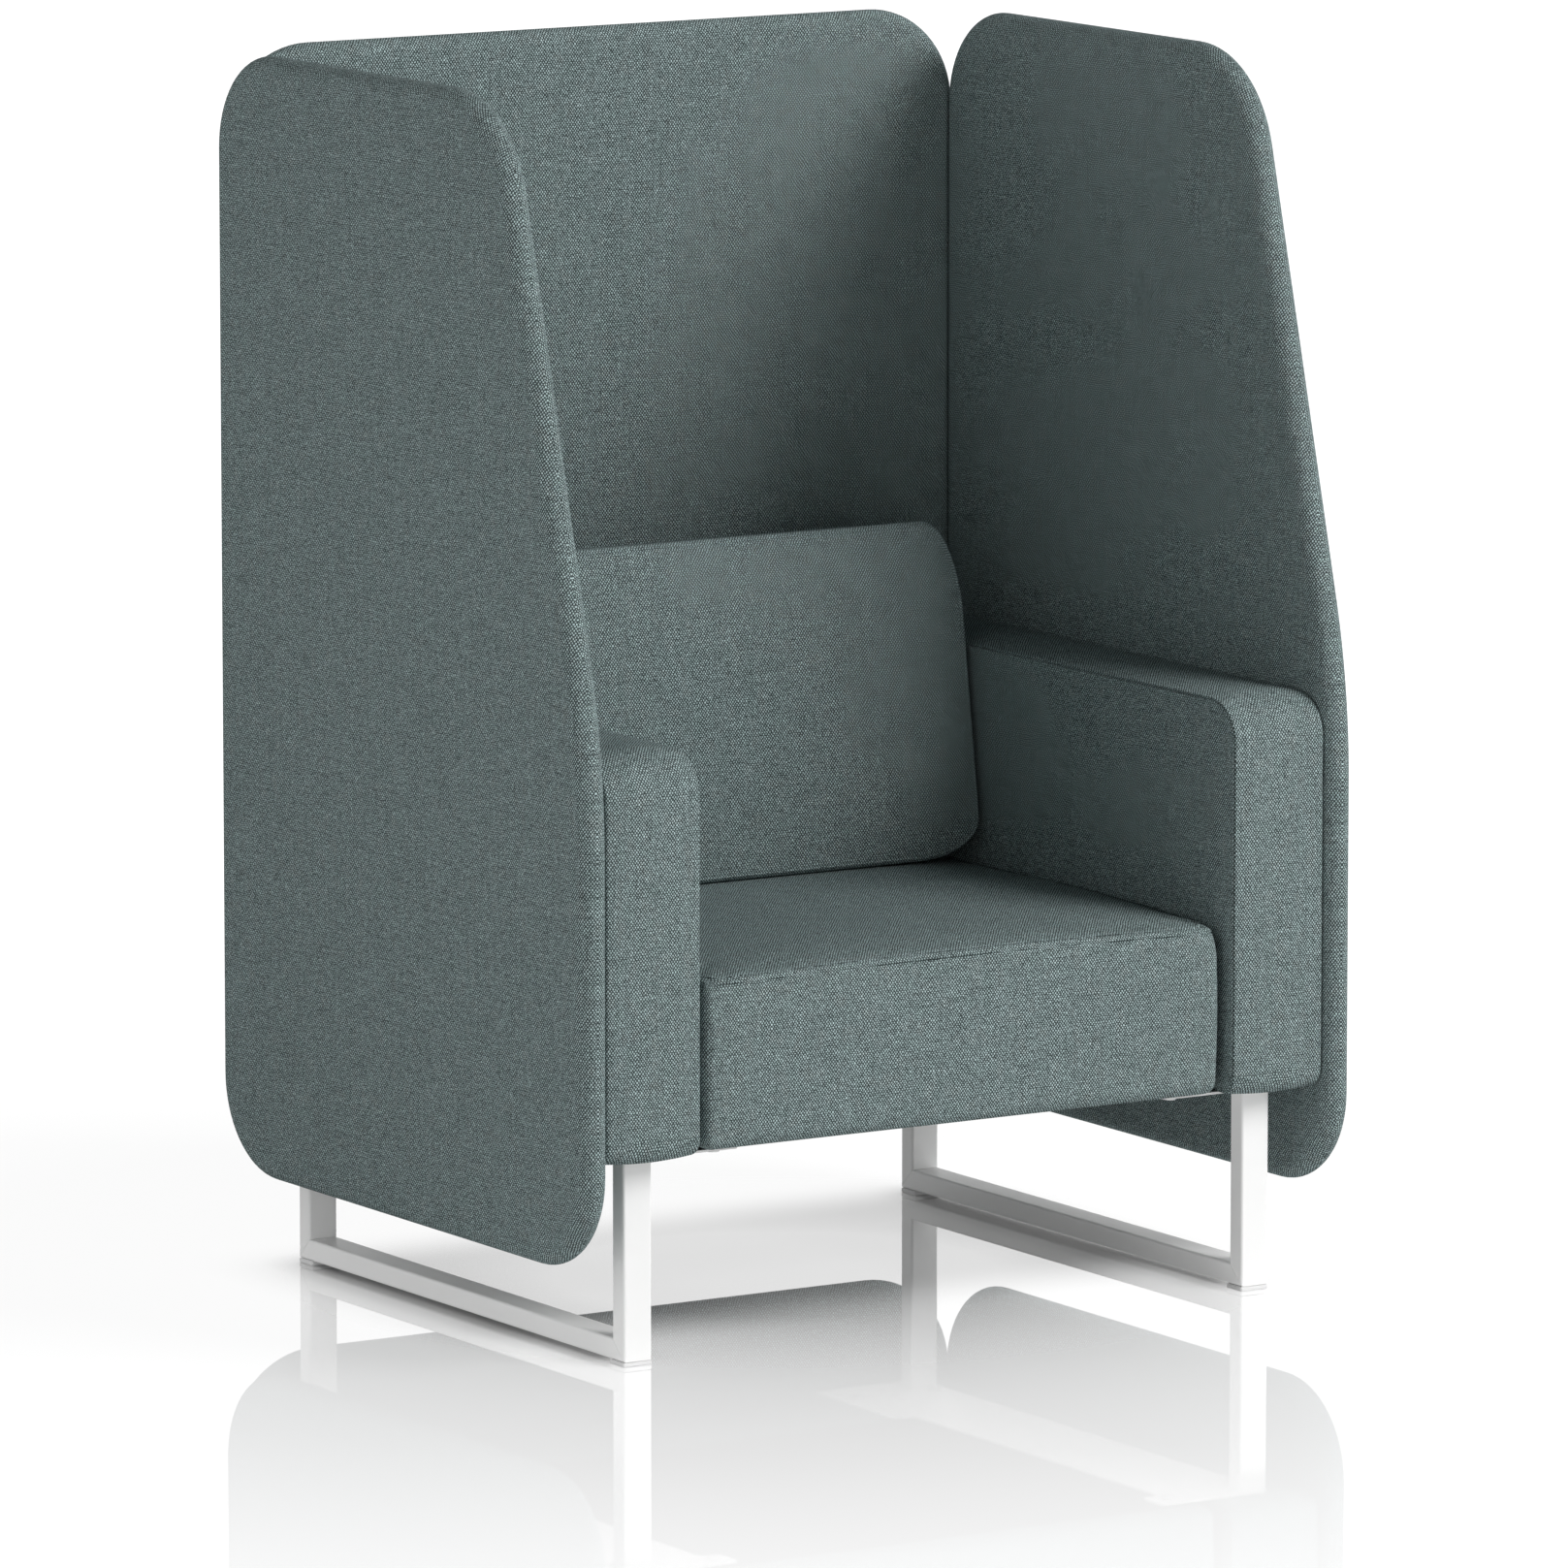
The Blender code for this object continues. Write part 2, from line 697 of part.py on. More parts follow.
def bracket(side, sign):
    """A strip over both legs of a sled, with a tab at the front for the seat and a longer one at the rear for the back."""
    front_step = bracket_front + bracket_front_tab
    rear_step = bracket_rear - bracket_rear_tab
    corners = [
        (sled_outer, bracket_front, bracket_corner),
        (sled_outer, bracket_rear, bracket_corner),
        (bracket_tab_end, bracket_rear, bracket_corner),
        (bracket_tab_end, rear_step, bracket_corner),
        (bracket_waist, rear_step, bracket_fillet),
        (bracket_waist, front_step, bracket_fillet),
        (bracket_tab_end, front_step, bracket_corner),
        (bracket_tab_end, bracket_front, bracket_corner),
    ]
    outlines = [rounded([(sign * across, deep, radius) for across, deep, radius in corners])]
    for across, deep in bolt_spots(sign).values():
        outlines.append(circle(across, deep, bolt_diameter + 2 * fit_gap))
    mesh = slab(side + "_bracket", outlines, bracket_thickness)
    add_part(side + "_bracket", mesh, white_steel, (0, 0, bracket_bottom + bracket_thickness / 2))


def bolt_mesh(name):
    """A turned bolt with a flat head, its top end at the full bite."""
    length = bracket_thickness + bolt_bite
    shank = bolt_diameter / 2
    head = bolt_head_diameter / 2
    profile = [(0, length), (shank, length), (shank, 0), (head, 0), (head, -bolt_head_height), (0, -bolt_head_height)]
    work = bmesh.new()
    points = [work.verts.new((radius, 0, height)) for radius, height in profile]
    for first, second in zip(points, points[1:]):
        work.edges.new((first, second))
    mesh = bpy.data.meshes.new(name)
    work.to_mesh(mesh)
    work.free()
    return mesh


def bracket_bolt(name, spot, targets):
    """A bolt up through a bracket, and the hole that it fills in the frames above."""
    place = (spot[0], spot[1], bracket_bottom - fit_gap)
    bolt = add_part(name, bolt_mesh(name), zinc_steel, place)
    turning = bolt.modifiers.new("turning", "SCREW")
    turning.steps = round_sides
    turning.render_steps = round_sides
    turning.use_merge_vertices = True
    turning.merge_threshold = 1e-5
    hole_length = 2 * (bracket_thickness + bolt_bite + fit_gap)
    hole = add_cutter(name + "_hole", rod(name + "_hole", bolt_diameter + 2 * fit_gap, hole_length), place)
    for target in targets:
        cut(target, hole)


for side, sign in sides:
    sled(side, sign)
    bracket(side, sign)
    bolted = {
        "front_arm_bolt": [arms[side][1]],
        "rear_arm_bolt": [arms[side][1]],
        "seat_bolt": [seat_lining, seat_frame],
        "back_bolt": [back_frame],
    }
    for bolt, spot in bolt_spots(sign).items():
        bracket_bolt(side + "_" + bolt, spot, bolted[bolt])


def pin(name, diameter, length, place, rotation, targets):
    """A hidden steel pin and the hole that it fills in each piece that it joins."""
    add_part(name, rod(name, diameter, length), zinc_steel, place, rotation)
    hole_mesh = rod(name + "_hole", diameter + 2 * fit_gap, length + 2 * fit_gap)
    hole = add_cutter(name + "_hole", hole_mesh, place, rotation)
    for target in targets:
        cut(target, hole)


def screen_studs():
    """Studs from the arm frames into the side screens, and from the inner back's frame into the back screen."""
    side_near = arm_outer - outer_padding - bolt_bite
    side_far = screen_inner_face + screen_padding + stud_bite
    post_front = arm_front + arm_padding + timber_width / 2
    post_rear = block_rear - outer_padding - timber_width / 2
    for side, sign in sides:
        targets = [*arms[side], *screens[side]]
        for end, deep in (("front", post_front), ("rear", post_rear)):
            place = (sign * (side_near + side_far) / 2, deep, stud_height)
            name = side + "_screen_" + end + "_stud"
            pin(name, stud_diameter, side_far - side_near, place, (0, math.pi / 2, 0), targets)
    back_near = block_rear - outer_padding - bolt_bite
    back_far = back_screen_front + screen_padding + stud_bite
    post_across = back_half_width - back_padding - timber_width / 2
    for side, sign in sides:
        place = (sign * post_across, (back_near + back_far) / 2, stud_height)
        targets = [back_cover, back_frame, *screens["back"]]
        pin(side + "_back_screen_stud", stud_diameter, back_far - back_near, place, FACING, targets)


def corner_dowels():
    """Dowels across the touching round edges of the side and back screens."""
    for side, sign in sides:
        across = sign * (side_screen_middle + back_screen_half_width - half_screen) / 2
        deep = (side_screen_rear - half_screen + back_screen_middle) / 2
        heading = sign * (math.pi / 2 - screen_meeting_angle)
        targets = [*screens[side], *screens["back"]]
        for level, height in (("low", low_dowel_height), ("high", high_dowel_height)):
            name = side + "_" + level + "_corner_dowel"
            pin(name, dowel_diameter, dowel_length, (across, deep, height), (math.pi / 2, 0, heading), targets)


screen_studs()
corner_dowels()
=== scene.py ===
"""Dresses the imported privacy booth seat: woven upholstery, white sled legs, and a plain studio round it."""

import math

import bpy
import numpy as np
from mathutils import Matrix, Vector
from mathutils import noise


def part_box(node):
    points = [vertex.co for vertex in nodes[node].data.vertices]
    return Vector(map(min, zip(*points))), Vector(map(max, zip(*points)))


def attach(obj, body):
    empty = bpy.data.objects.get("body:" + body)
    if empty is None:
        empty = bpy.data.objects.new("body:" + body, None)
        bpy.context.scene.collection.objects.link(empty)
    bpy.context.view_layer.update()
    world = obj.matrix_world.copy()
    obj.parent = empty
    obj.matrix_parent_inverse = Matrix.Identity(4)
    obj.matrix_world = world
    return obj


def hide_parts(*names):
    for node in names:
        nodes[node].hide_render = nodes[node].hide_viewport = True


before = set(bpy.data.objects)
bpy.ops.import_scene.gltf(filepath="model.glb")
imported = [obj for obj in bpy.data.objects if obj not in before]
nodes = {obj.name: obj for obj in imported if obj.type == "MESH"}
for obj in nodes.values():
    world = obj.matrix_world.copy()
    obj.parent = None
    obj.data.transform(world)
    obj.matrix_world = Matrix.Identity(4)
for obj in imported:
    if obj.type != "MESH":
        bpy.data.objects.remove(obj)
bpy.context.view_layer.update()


# Sled legs: two uprights and a floor rail of rectangular steel tube on each side, mitred and welded.
# They are powder coated in white, in a satin film with a faint orange peel and a slightly uneven gloss.
sides = {"left": -1, "right": 1}


def add_node(tree, kind, inputs=None, **settings):
    made = tree.nodes.new("ShaderNode" + kind)
    for name, value in settings.items():
        setattr(made, name, value)
    for name, value in (inputs or {}).items():
        if isinstance(value, bpy.types.NodeSocket):
            tree.links.new(value, made.inputs[name])
        else:
            made.inputs[name].default_value = value
    return made


def calc(tree, operation, *values):
    return add_node(tree, "Math", dict(enumerate(values)), operation=operation).outputs[0]


def new_group(name, inputs, outputs):
    """An empty node group with its sockets, and its input and output nodes."""
    group = bpy.data.node_groups.new(name, "ShaderNodeTree")
    for socket, kind, value in inputs:
        made = group.interface.new_socket(socket, in_out="INPUT", socket_type="NodeSocket" + kind)
        if value is not None:
            made.default_value = value
    for socket, kind in outputs:
        group.interface.new_socket(socket, in_out="OUTPUT", socket_type="NodeSocket" + kind)
    return group, group.nodes.new("NodeGroupInput"), group.nodes.new("NodeGroupOutput")


def new_finish(name, roughness, metallic=0.0):
    """A material with its shader, ready for the nodes that colour it."""
    finish = bpy.data.materials.new(name)
    finish.use_nodes = True
    shader = finish.node_tree.nodes["Principled BSDF"]
    shader.inputs["Roughness"].default_value = roughness
    shader.inputs["Metallic"].default_value = metallic
    return finish, finish.node_tree, shader


def dress(piece, finish):
    piece.data.materials.clear()
    piece.data.materials.append(finish)


def mottle_group():
    """Fine grain of a sprayed, moulded or plated surface: a mask for colour and gloss, and a height."""
    fine_share, cloud_share = 0.4, 0.6
    group, given, out = new_group(
        "fine_mottle",
        [("Grain", "Float", 900.0), ("Cloud", "Float", 14.0)],
        [("Mask", "Float"), ("Height", "Float")],
    )
    place = add_node(group, "TexCoord").outputs["Object"]
    grain = add_node(group, "TexNoise", {"Vector": place, "Scale": given.outputs["Grain"], "Detail": 2.0})
    cloud = add_node(group, "TexNoise", {"Vector": place, "Scale": given.outputs["Cloud"], "Detail": 3.0})
    fine = calc(group, "MULTIPLY", grain.outputs["Fac"], fine_share)
    mask = calc(group, "MULTIPLY_ADD", cloud.outputs["Fac"], cloud_share, fine)
    group.links.new(mask, out.inputs["Mask"])
    group.links.new(grain.outputs["Fac"], out.inputs["Height"])
    return group


fine_mottle = mottle_group()


def mottled(name, light, dark, roughness, spread, relief, grain, cloud, metallic=0.0):
    """A hard finish whose colour, gloss and relief follow the fine mottle."""
    finish, tree, shader = new_finish(name, roughness, metallic)
    mottle = add_node(tree, "Group", node_tree=fine_mottle)
    mottle.inputs["Grain"].default_value = grain
    mottle.inputs["Cloud"].default_value = cloud
    tint = add_node(tree, "Mix", {"Factor": mottle.outputs["Mask"]}, data_type="RGBA")
    tint.inputs["A"].default_value = (*dark, 1)
    tint.inputs["B"].default_value = (*light, 1)
    tree.links.new(tint.outputs["Result"], shader.inputs["Base Color"])
    gloss = calc(tree, "MULTIPLY_ADD", mottle.outputs["Mask"], spread, roughness - spread / 2)
    tree.links.new(gloss, shader.inputs["Roughness"])
    grain_height = 0.0002
    shape = {"Height": mottle.outputs["Height"], "Strength": relief, "Distance": grain_height}
    bump = add_node(tree, "Bump", shape)
    tree.links.new(bump.outputs["Normal"], shader.inputs["Normal"])
    return finish


white_powder = mottled(
    "white_powder_coat",
    light=(0.92, 0.92, 0.915),
    dark=(0.88, 0.88, 0.875),
    roughness=0.38,
    spread=0.10,
    relief=0.25,
    grain=1100.0,
    cloud=9.0,
)
for side in sides:
    for piece in ("front_leg", "rear_leg", "rail"):
        dress(nodes[side + "_" + piece], white_powder)


# Glides: moulded pale grey plastic feet pressed into the lower corners of the sleds.
# Their mould texture is matt, and they are a little scuffed.
glide_plastic = mottled(
    "glide_plastic",
    light=(0.80, 0.80, 0.80),
    dark=(0.70, 0.70, 0.70),
    roughness=0.6,
    spread=0.15,
    relief=0.4,
    grain=1500.0,
    cloud=40.0,
)
for side in sides:
    for piece in ("front_glide", "rear_glide"):
        dress(nodes[side + "_" + piece], glide_plastic)


# Brackets: a long cut steel plate over both legs of each sled, with a tab at each end.
# Coated with the legs, and bolted up into the arm, the seat and the inner back.
for side in sides:
    dress(nodes[side + "_bracket"], white_powder)


# Bolts, studs and dowels: plated steel, with a bright, slightly streaked grey zinc on the bolts and studs.
# The bolts show under the brackets. The dowels across the screens' corners are in black zinc, to stay
# unseen in the joint.
zinc_plate = mottled(
    "zinc_plate",
    light=(0.62, 0.62, 0.61),
    dark=(0.48, 0.49, 0.50),
    roughness=0.36,
    spread=0.2,
    relief=0.2,
    grain=1800.0,
    cloud=220.0,
    metallic=1.0,
)
black_zinc = mottled(
    "black_zinc",
    light=(0.03, 0.03, 0.03),
    dark=(0.015, 0.015, 0.016),
    roughness=0.6,
    spread=0.2,
    relief=0.2,
    grain=1800.0,
    cloud=220.0,
)
for name, piece in nodes.items():
    if name.endswith(("_bolt", "_stud")):
        dress(piece, zinc_plate)
    if name.endswith("_dowel"):
        dress(piece, black_zinc)


# Timber frames of the arms, the seat and the inner back: planed softwood, glued and stapled.
# The grain is stretched along Z and broken by growth bands.
def timber_finish():
    finish, tree, shader = new_finish("planed_softwood", 0.62)
    place = add_node(tree, "TexCoord").outputs["Object"]
    grain_stretch = (38.0, 38.0, 3.0)
    along = add_node(tree, "Mapping", {"Vector": place, "Scale": grain_stretch})
    growth = {"Vector": along.outputs[0], "Scale": 1.0, "Detail": 5.0, "Distortion": 1.2}
    bands = add_node(tree, "TexNoise", growth)
    ramp = add_node(tree, "ValToRGB", {"Fac": bands.outputs["Fac"]})
    ramp.color_ramp.elements[0].color = (0.36, 0.22, 0.11, 1)
    ramp.color_ramp.elements[0].position = 0.32
    ramp.color_ramp.elements[1].color = (0.62, 0.45, 0.27, 1)
    ramp.color_ramp.elements[1].position = 0.68
    tree.links.new(ramp.outputs["Color"], shader.inputs["Base Color"])
    bump = add_node(tree, "Bump", {"Height": bands.outputs["Fac"], "Strength": 0.2, "Distance": 0.0004})
    tree.links.new(bump.outputs["Normal"], shader.inputs["Normal"])
    return finish


softwood = timber_finish()
for name in ("left_arm_frame", "right_arm_frame", "seat_frame", "inner_back_frame"):
    dress(nodes[name], softwood)


# Screen cores and seat deck: pressed wood board, flecked with light and dark chips.
# They are cut to shape and hidden by the padding.
chip_board = mottled(
    "chip_board",
    light=(0.52, 0.41, 0.28),
    dark=(0.24, 0.17, 0.10),
    roughness=0.8,
    spread=0.1,
    relief=0.5,
    grain=420.0,
    cloud=160.0,
)
for name in ("left_screen_core", "right_screen_core", "back_screen_core", "seat_deck"):
    dress(nodes[name], chip_board)


# Arms: a timber frame under foam, covered by flat side panels and one strip that wraps front, top and rear.
# The strip is sewn to the inner panel in a groove along the arris, and its lower edge sags a little in
# front of the bracket.
scene = bpy.context.scene


def weave_group():
    """A plain weave of thick yarns, light weft over dark warp, with slubs and painted shade between the
    yarns.
    """
    group, given, out = new_group(
        "plain_weave",
        [
            ("Thread", "Vector", None),
            ("Warp spacing", "Float", 0.002),
            ("Weft spacing", "Float", 0.002),
            ("Light yarn", "Color", (0.5, 0.5, 0.5, 1)),
            ("Dark yarn", "Color", (0.1, 0.1, 0.1, 1)),
            ("Gap shade", "Float", 0.3),
            ("Slub", "Float", 0.5),
            ("Speckle", "Float", 0.5),
        ],
        [("Colour", "Color"), ("Height", "Float")],
    )
    thread = given.outputs["Thread"]
    warp_pitch, weft_pitch = given.outputs["Warp spacing"], given.outputs["Weft spacing"]
    spacing = add_node(group, "CombineXYZ", {0: warp_pitch, 1: weft_pitch, 2: 1.0})
    yarns = add_node(group, "VectorMath", {0: thread, 1: spacing.outputs[0]}, operation="DIVIDE").outputs[0]

    def flat_noise(place, scale, detail):
        settings = {"Vector": place, "Scale": scale, "Detail": detail}
        return add_node(group, "TexNoise", settings, noise_dimensions="2D")

    # The yarns wander slowly, and each crossing is a little out of place: both are shifts in yarn spacings
    wander, jitter = (0.16, 1.0, 0.9), (0.8, 0.0, 0.6)
    drift = yarns
    for scale, detail, shift in (wander, jitter):
        uneven = flat_noise(yarns, scale, detail).outputs["Color"]
        moved = {0: uneven, 1: (shift, shift, 0.0), 2: drift}
        drift = add_node(group, "VectorMath", moved, operation="MULTIPLY_ADD").outputs[0]
    split = add_node(group, "SeparateXYZ", {0: drift})
    across, along = split.outputs["X"], split.outputs["Y"]
    warp_count = calc(group, "FLOOR", across)
    weft_count = calc(group, "FLOOR", along)
    over = calc(group, "FLOORED_MODULO", calc(group, "ADD", warp_count, weft_count), 2.0)

    def arch(place, count):
        return calc(group, "SINE", calc(group, "MULTIPLY", calc(group, "SUBTRACT", place, count), math.pi))

    warp_arch = arch(across, warp_count)
    weft_arch = arch(along, weft_count)
    warp_top = calc(group, "MULTIPLY", warp_arch, calc(group, "SQRT", weft_arch))
    weft_top = calc(group, "MULTIPLY", weft_arch, calc(group, "SQRT", warp_arch))
    height = add_node(group, "Mix", {"Factor": over, "A": warp_top, "B": weft_top}).outputs["Result"]
    # Slubs run along the yarns both ways, and each crossing has its own lightness
    next_yarn, along_yarn, slub_detail = 0.7, 0.04, 2.0
    warp_row = calc(group, "MULTIPLY", warp_count, next_yarn)
    weft_row = calc(group, "MULTIPLY", weft_count, next_yarn)
    warp_run = add_node(group, "CombineXYZ", {0: warp_row, 1: calc(group, "MULTIPLY", along, along_yarn)})
    weft_run = add_node(group, "CombineXYZ", {0: calc(group, "MULTIPLY", across, along_yarn), 1: weft_row})
    warp_slub = flat_noise(warp_run.outputs[0], 1.0, slub_detail)
    weft_slub = flat_noise(weft_run.outputs[0], 1.0, slub_detail)
    slub = calc(group, "ADD", warp_slub.outputs["Fac"], weft_slub.outputs["Fac"])
    crossing = add_node(group, "CombineXYZ", {0: warp_count, 1: weft_count})
    speck = add_node(group, "TexWhiteNoise", {"Vector": crossing.outputs[0]}, noise_dimensions="2D")
    fleck = calc(group, "SUBTRACT", speck.outputs["Value"], 0.5)
    uneven = calc(group, "MULTIPLY", calc(group, "SUBTRACT", slub, 1.0), given.outputs["Slub"])
    uneven = calc(group, "MULTIPLY_ADD", fleck, given.outputs["Speckle"], uneven)
    yarn = add_node(group, "Mix", {"Factor": over}, data_type="RGBA")
    group.links.new(given.outputs["Dark yarn"], yarn.inputs["A"])
    group.links.new(given.outputs["Light yarn"], yarn.inputs["B"])
    # Dye: the yarns drift between a greener, a bluer and a warmer grey
    dye_scale, dye_detail = 0.12, 3.0
    dye = flat_noise(drift, dye_scale, dye_detail)
    tint = add_node(group, "ValToRGB", {"Fac": dye.outputs["Fac"]})
    tint.color_ramp.elements[0].position = 0.30
    tint.color_ramp.elements[0].color = (0.98, 1.010, 1.006, 1)
    tint.color_ramp.elements[1].position = 0.70
    tint.color_ramp.elements[1].color = (1.021, 0.995, 0.994, 1)
    blue = tint.color_ramp.elements.new(0.55)
    blue.color = (0.994, 0.998, 1.010, 1)
    dyed = add_node(group, "Mix", {"Factor": 1.0}, data_type="RGBA", blend_type="MULTIPLY")
    group.links.new(yarn.outputs["Result"], dyed.inputs["A"])
    group.links.new(tint.outputs["Color"], dyed.inputs["B"])
    # Painted shade: each crossing darkens down its curve into the gaps between yarns, to the gap shade, and
    # the slubs then vary it
    gap_shade = given.outputs["Gap shade"]
    lit = calc(group, "MULTIPLY_ADD", height, calc(group, "SUBTRACT", 1.0, gap_shade), gap_shade)
    shade_and_slub = calc(group, "MULTIPLY", lit, calc(group, "ADD", 1.0, uneven))
    colour = add_node(group, "VectorMath", {0: dyed.outputs["Result"], "Scale": shade_and_slub}, operation="SCALE")
    group.links.new(colour.outputs[0], out.inputs["Colour"])
    group.links.new(height, out.inputs["Height"])
    return group


plain_weave = weave_group()


def woven(name, light, dark, spacing, gap_shade, slub, speckle, relief):
    """A matt cloth whose colour and relief follow the plain weave."""
    finish, tree, shader = new_finish(name, 0.88)
    shader.inputs["Specular IOR Level"].default_value = 0.0
    shader.inputs["Sheen Weight"].default_value = 0.015
    shader.inputs["Sheen Roughness"].default_value = 0.6
    thread = add_node(tree, "Attribute", attribute_name="thread")
    weave = add_node(tree, "Group", node_tree=plain_weave)
    tree.links.new(thread.outputs["Vector"], weave.inputs["Thread"])
    weave.inputs["Warp spacing"].default_value = spacing[0]
    weave.inputs["Weft spacing"].default_value = spacing[1]
    weave.inputs["Light yarn"].default_value = (*light, 1)
    weave.inputs["Dark yarn"].default_value = (*dark, 1)
    # The gap shade sets how dark the painted shade gets in the gaps between yarns
    weave.inputs["Gap shade"].default_value = gap_shade
    weave.inputs["Slub"].default_value = slub
    weave.inputs["Speckle"].default_value = speckle
    tree.links.new(weave.outputs["Colour"], shader.inputs["Base Color"])
    yarn_height = 0.0006
    shape = {"Height": weave.outputs["Height"], "Strength": relief, "Distance": yarn_height}
    bump = add_node(tree, "Bump", shape)
    tree.links.new(bump.outputs["Normal"], shader.inputs["Normal"])
    return finish


upholstery = woven(
    "upholstery_weave",
    light=(0.550, 0.687, 0.684),
    dark=(0.074, 0.097, 0.0965),
    spacing=(0.00175, 0.00233),
    gap_shade=0.12,
    slub=0.40,
    speckle=0.30,
    relief=0.10,
)


def rounded_outline(corners, inset=0.0):
    """Points, outward normals, run and corner marks of a counter-clockwise outline drawn in by an inset.

    Its corners are (across, up, radius, arc steps, side steps). A square corner may have two reaches in
    place of a radius: one along the side before it, and one along the side after it.
    """
    least_radius = 0.0025
    points, normals, marks = [], [], []
    places = [np.array(corner[:2], float) for corner in corners]
    count = len(corners)
    moved = []
    for place in range(count):
        last = places[place] - places[place - 1]
        following = places[(place + 1) % count] - places[place]
        last /= np.linalg.norm(last)
        following /= np.linalg.norm(following)
        inward_last = np.array((-last[1], last[0]))
        inward_next = np.array((-following[1], following[0]))
        step = (inward_last + inward_next) * inset / (1 + inward_last @ inward_next)
        moved.append((places[place] + step, last, following, inward_last, inward_next))
    ends = []
    for place in range(count):
        spot, last, following, inward_last, inward_next = moved[place]
        if isinstance(corners[place][2], tuple):
            before, after = (max(reach - inset, least_radius) for reach in corners[place][2])
            steps = corners[place][3]
            arc = []
            for step in range(steps + 1):
                angle = math.pi / 2 * step / steps
                back = last * before * (1 - math.sin(angle))
                point = spot - back + following * after * (1 - math.cos(angle))
                normal = last * math.sin(angle) / before - following * math.cos(angle) / after
                arc.append((point, normal / np.linalg.norm(normal)))
            ends.append(arc)
            continue
        radius = max(corners[place][2] - inset, least_radius)
        turn = math.acos(max(-1.0, min(1.0, float(last @ following))))
        reach = radius * math.tan(turn / 2)
        centre = spot - last * reach + inward_last * radius
        start = math.atan2(-inward_last[1], -inward_last[0])
        steps = corners[place][3]
        arc = []
        for step in range(steps + 1):
            angle = start + turn * step / steps
            normal = np.array((math.cos(angle), math.sin(angle)))
            arc.append((centre + normal * radius, normal))
        ends.append(arc)
    for place in range(count):
        arc = ends[place]
        marks.append(len(points) + corners[place][3] // 2)
        for point, normal in arc:
            points.append(point)
            normals.append(normal)
        begin, side_normal = arc[-1]
        finish = ends[(place + 1) % count][0][0]
        steps = corners[place][4]
        for step in range(1, steps):
            points.append(begin + (finish - begin) * step / steps)
            normals.append(side_normal)
    points = np.array(points)
    gaps = np.linalg.norm(np.roll(points, -1, axis=0) - points, axis=1)
    return points, np.array(normals), np.concatenate(([0.0], np.cumsum(gaps))), marks


def panel_grid(ring, marks):
    """A grid of points that fills a ring, and how far each is from both pairs of its sides.

    The marks split the ring into its four sides.
    """
    count = len(ring)
    turned = np.roll(ring, -marks[0], axis=0)
    first, second, third = ((mark - marks[0]) % count for mark in marks[1:4])
    low = turned[: first + 1]
    right = turned[first : second + 1]
    high = turned[second : third + 1][::-1]
    left = np.concatenate((turned[third:], turned[:1]))[::-1]

    def share(side):
        run = np.concatenate(([0.0], np.cumsum(np.linalg.norm(np.diff(side, axis=0), axis=1))))
        return run / run[-1], run[-1]

    across = ((share(low)[0] + share(high)[0]) / 2)[None, :, None]
    up = ((share(left)[0] + share(right)[0]) / 2)[:, None, None]
    grid = (1 - up) * low[None] + up * high[None] + (1 - across) * left[:, None] + across * right[:, None]
    grid -= (1 - across) * (1 - up) * low[0] + across * (1 - up) * low[-1]
    grid -= (1 - across) * up * high[0] + across * up * high[-1]
    wide = (share(low)[1] + share(high)[1]) / 2
    tall = (share(left)[1] + share(right)[1]) / 2
    return grid, (np.minimum(across, 1 - across)[:, :, 0] * wide, np.minimum(up, 1 - up)[:, :, 0] * tall)


def crown(rims, reach):
    """The share of a crowned panel's full height at each point, rising from the rim over a reach."""
    return (1 - (1 - np.minimum(rims[0] / reach, 1)) ** 2) * (1 - (1 - np.minimum(rims[1] / reach, 1)) ** 2)


def plump(grid, way, limit, held=None):
    """A sewn panel pressed out by its foam: a short cloth simulation with the rim held, capped at a limit."""
    frames, pressure, never_zero = 20, 4.0, 1e-9
    tall, wide = grid.shape[:2]
    faces = []
    for row in range(tall - 1):
        for column in range(wide - 1):
            spot = row * wide + column
            faces.append((spot, spot + 1, spot + wide + 1, spot + wide))
    mesh = bpy.data.meshes.new("panel_trial")
    before = grid.reshape(-1, 3)
    mesh.from_pydata([tuple(point) for point in before], [], faces)
    trial = bpy.data.objects.new("panel_trial", mesh)
    scene.collection.objects.link(trial)
    pinned = np.zeros((tall, wide)) if held is None else held.copy()
    pinned[0, :] = pinned[-1, :] = 1
    pinned[:, 0] = pinned[:, -1] = 1
    pins = trial.vertex_groups.new(name="held")
    for spot, weight in enumerate(pinned.ravel()):
        if weight > 0:
            pins.add([spot], float(weight), "REPLACE")
    cloth = trial.modifiers.new("foam_pressure", "CLOTH")
    settings = cloth.settings
    settings.quality = 6
    settings.mass = 0.3
    settings.tension_stiffness = settings.compression_stiffness = 60.0
    settings.shear_stiffness = 20.0
    settings.bending_stiffness = 4.0
    settings.air_damping = 5.0
    settings.vertex_group_mass = "held"
    settings.use_pressure = True
    settings.uniform_pressure_force = pressure * way
    settings.effector_weights.gravity = 0
    cloth.collision_settings.use_collision = False
    for step in range(1, frames + 1):
        scene.frame_set(step)
    shape = trial.evaluated_get(bpy.context.evaluated_depsgraph_get()).data
    after = np.empty(len(before) * 3, np.float32)
    shape.vertices.foreach_get("co", after)
    shift = after.reshape(-1, 3) - before
    far = np.linalg.norm(shift, axis=1)
    shift *= (limit * np.tanh(far / limit) / np.maximum(far, never_zero))[:, None]
    bpy.data.objects.remove(trial)
    bpy.data.meshes.remove(mesh)
    scene.frame_set(1)
    return (before + shift).reshape(grid.shape)


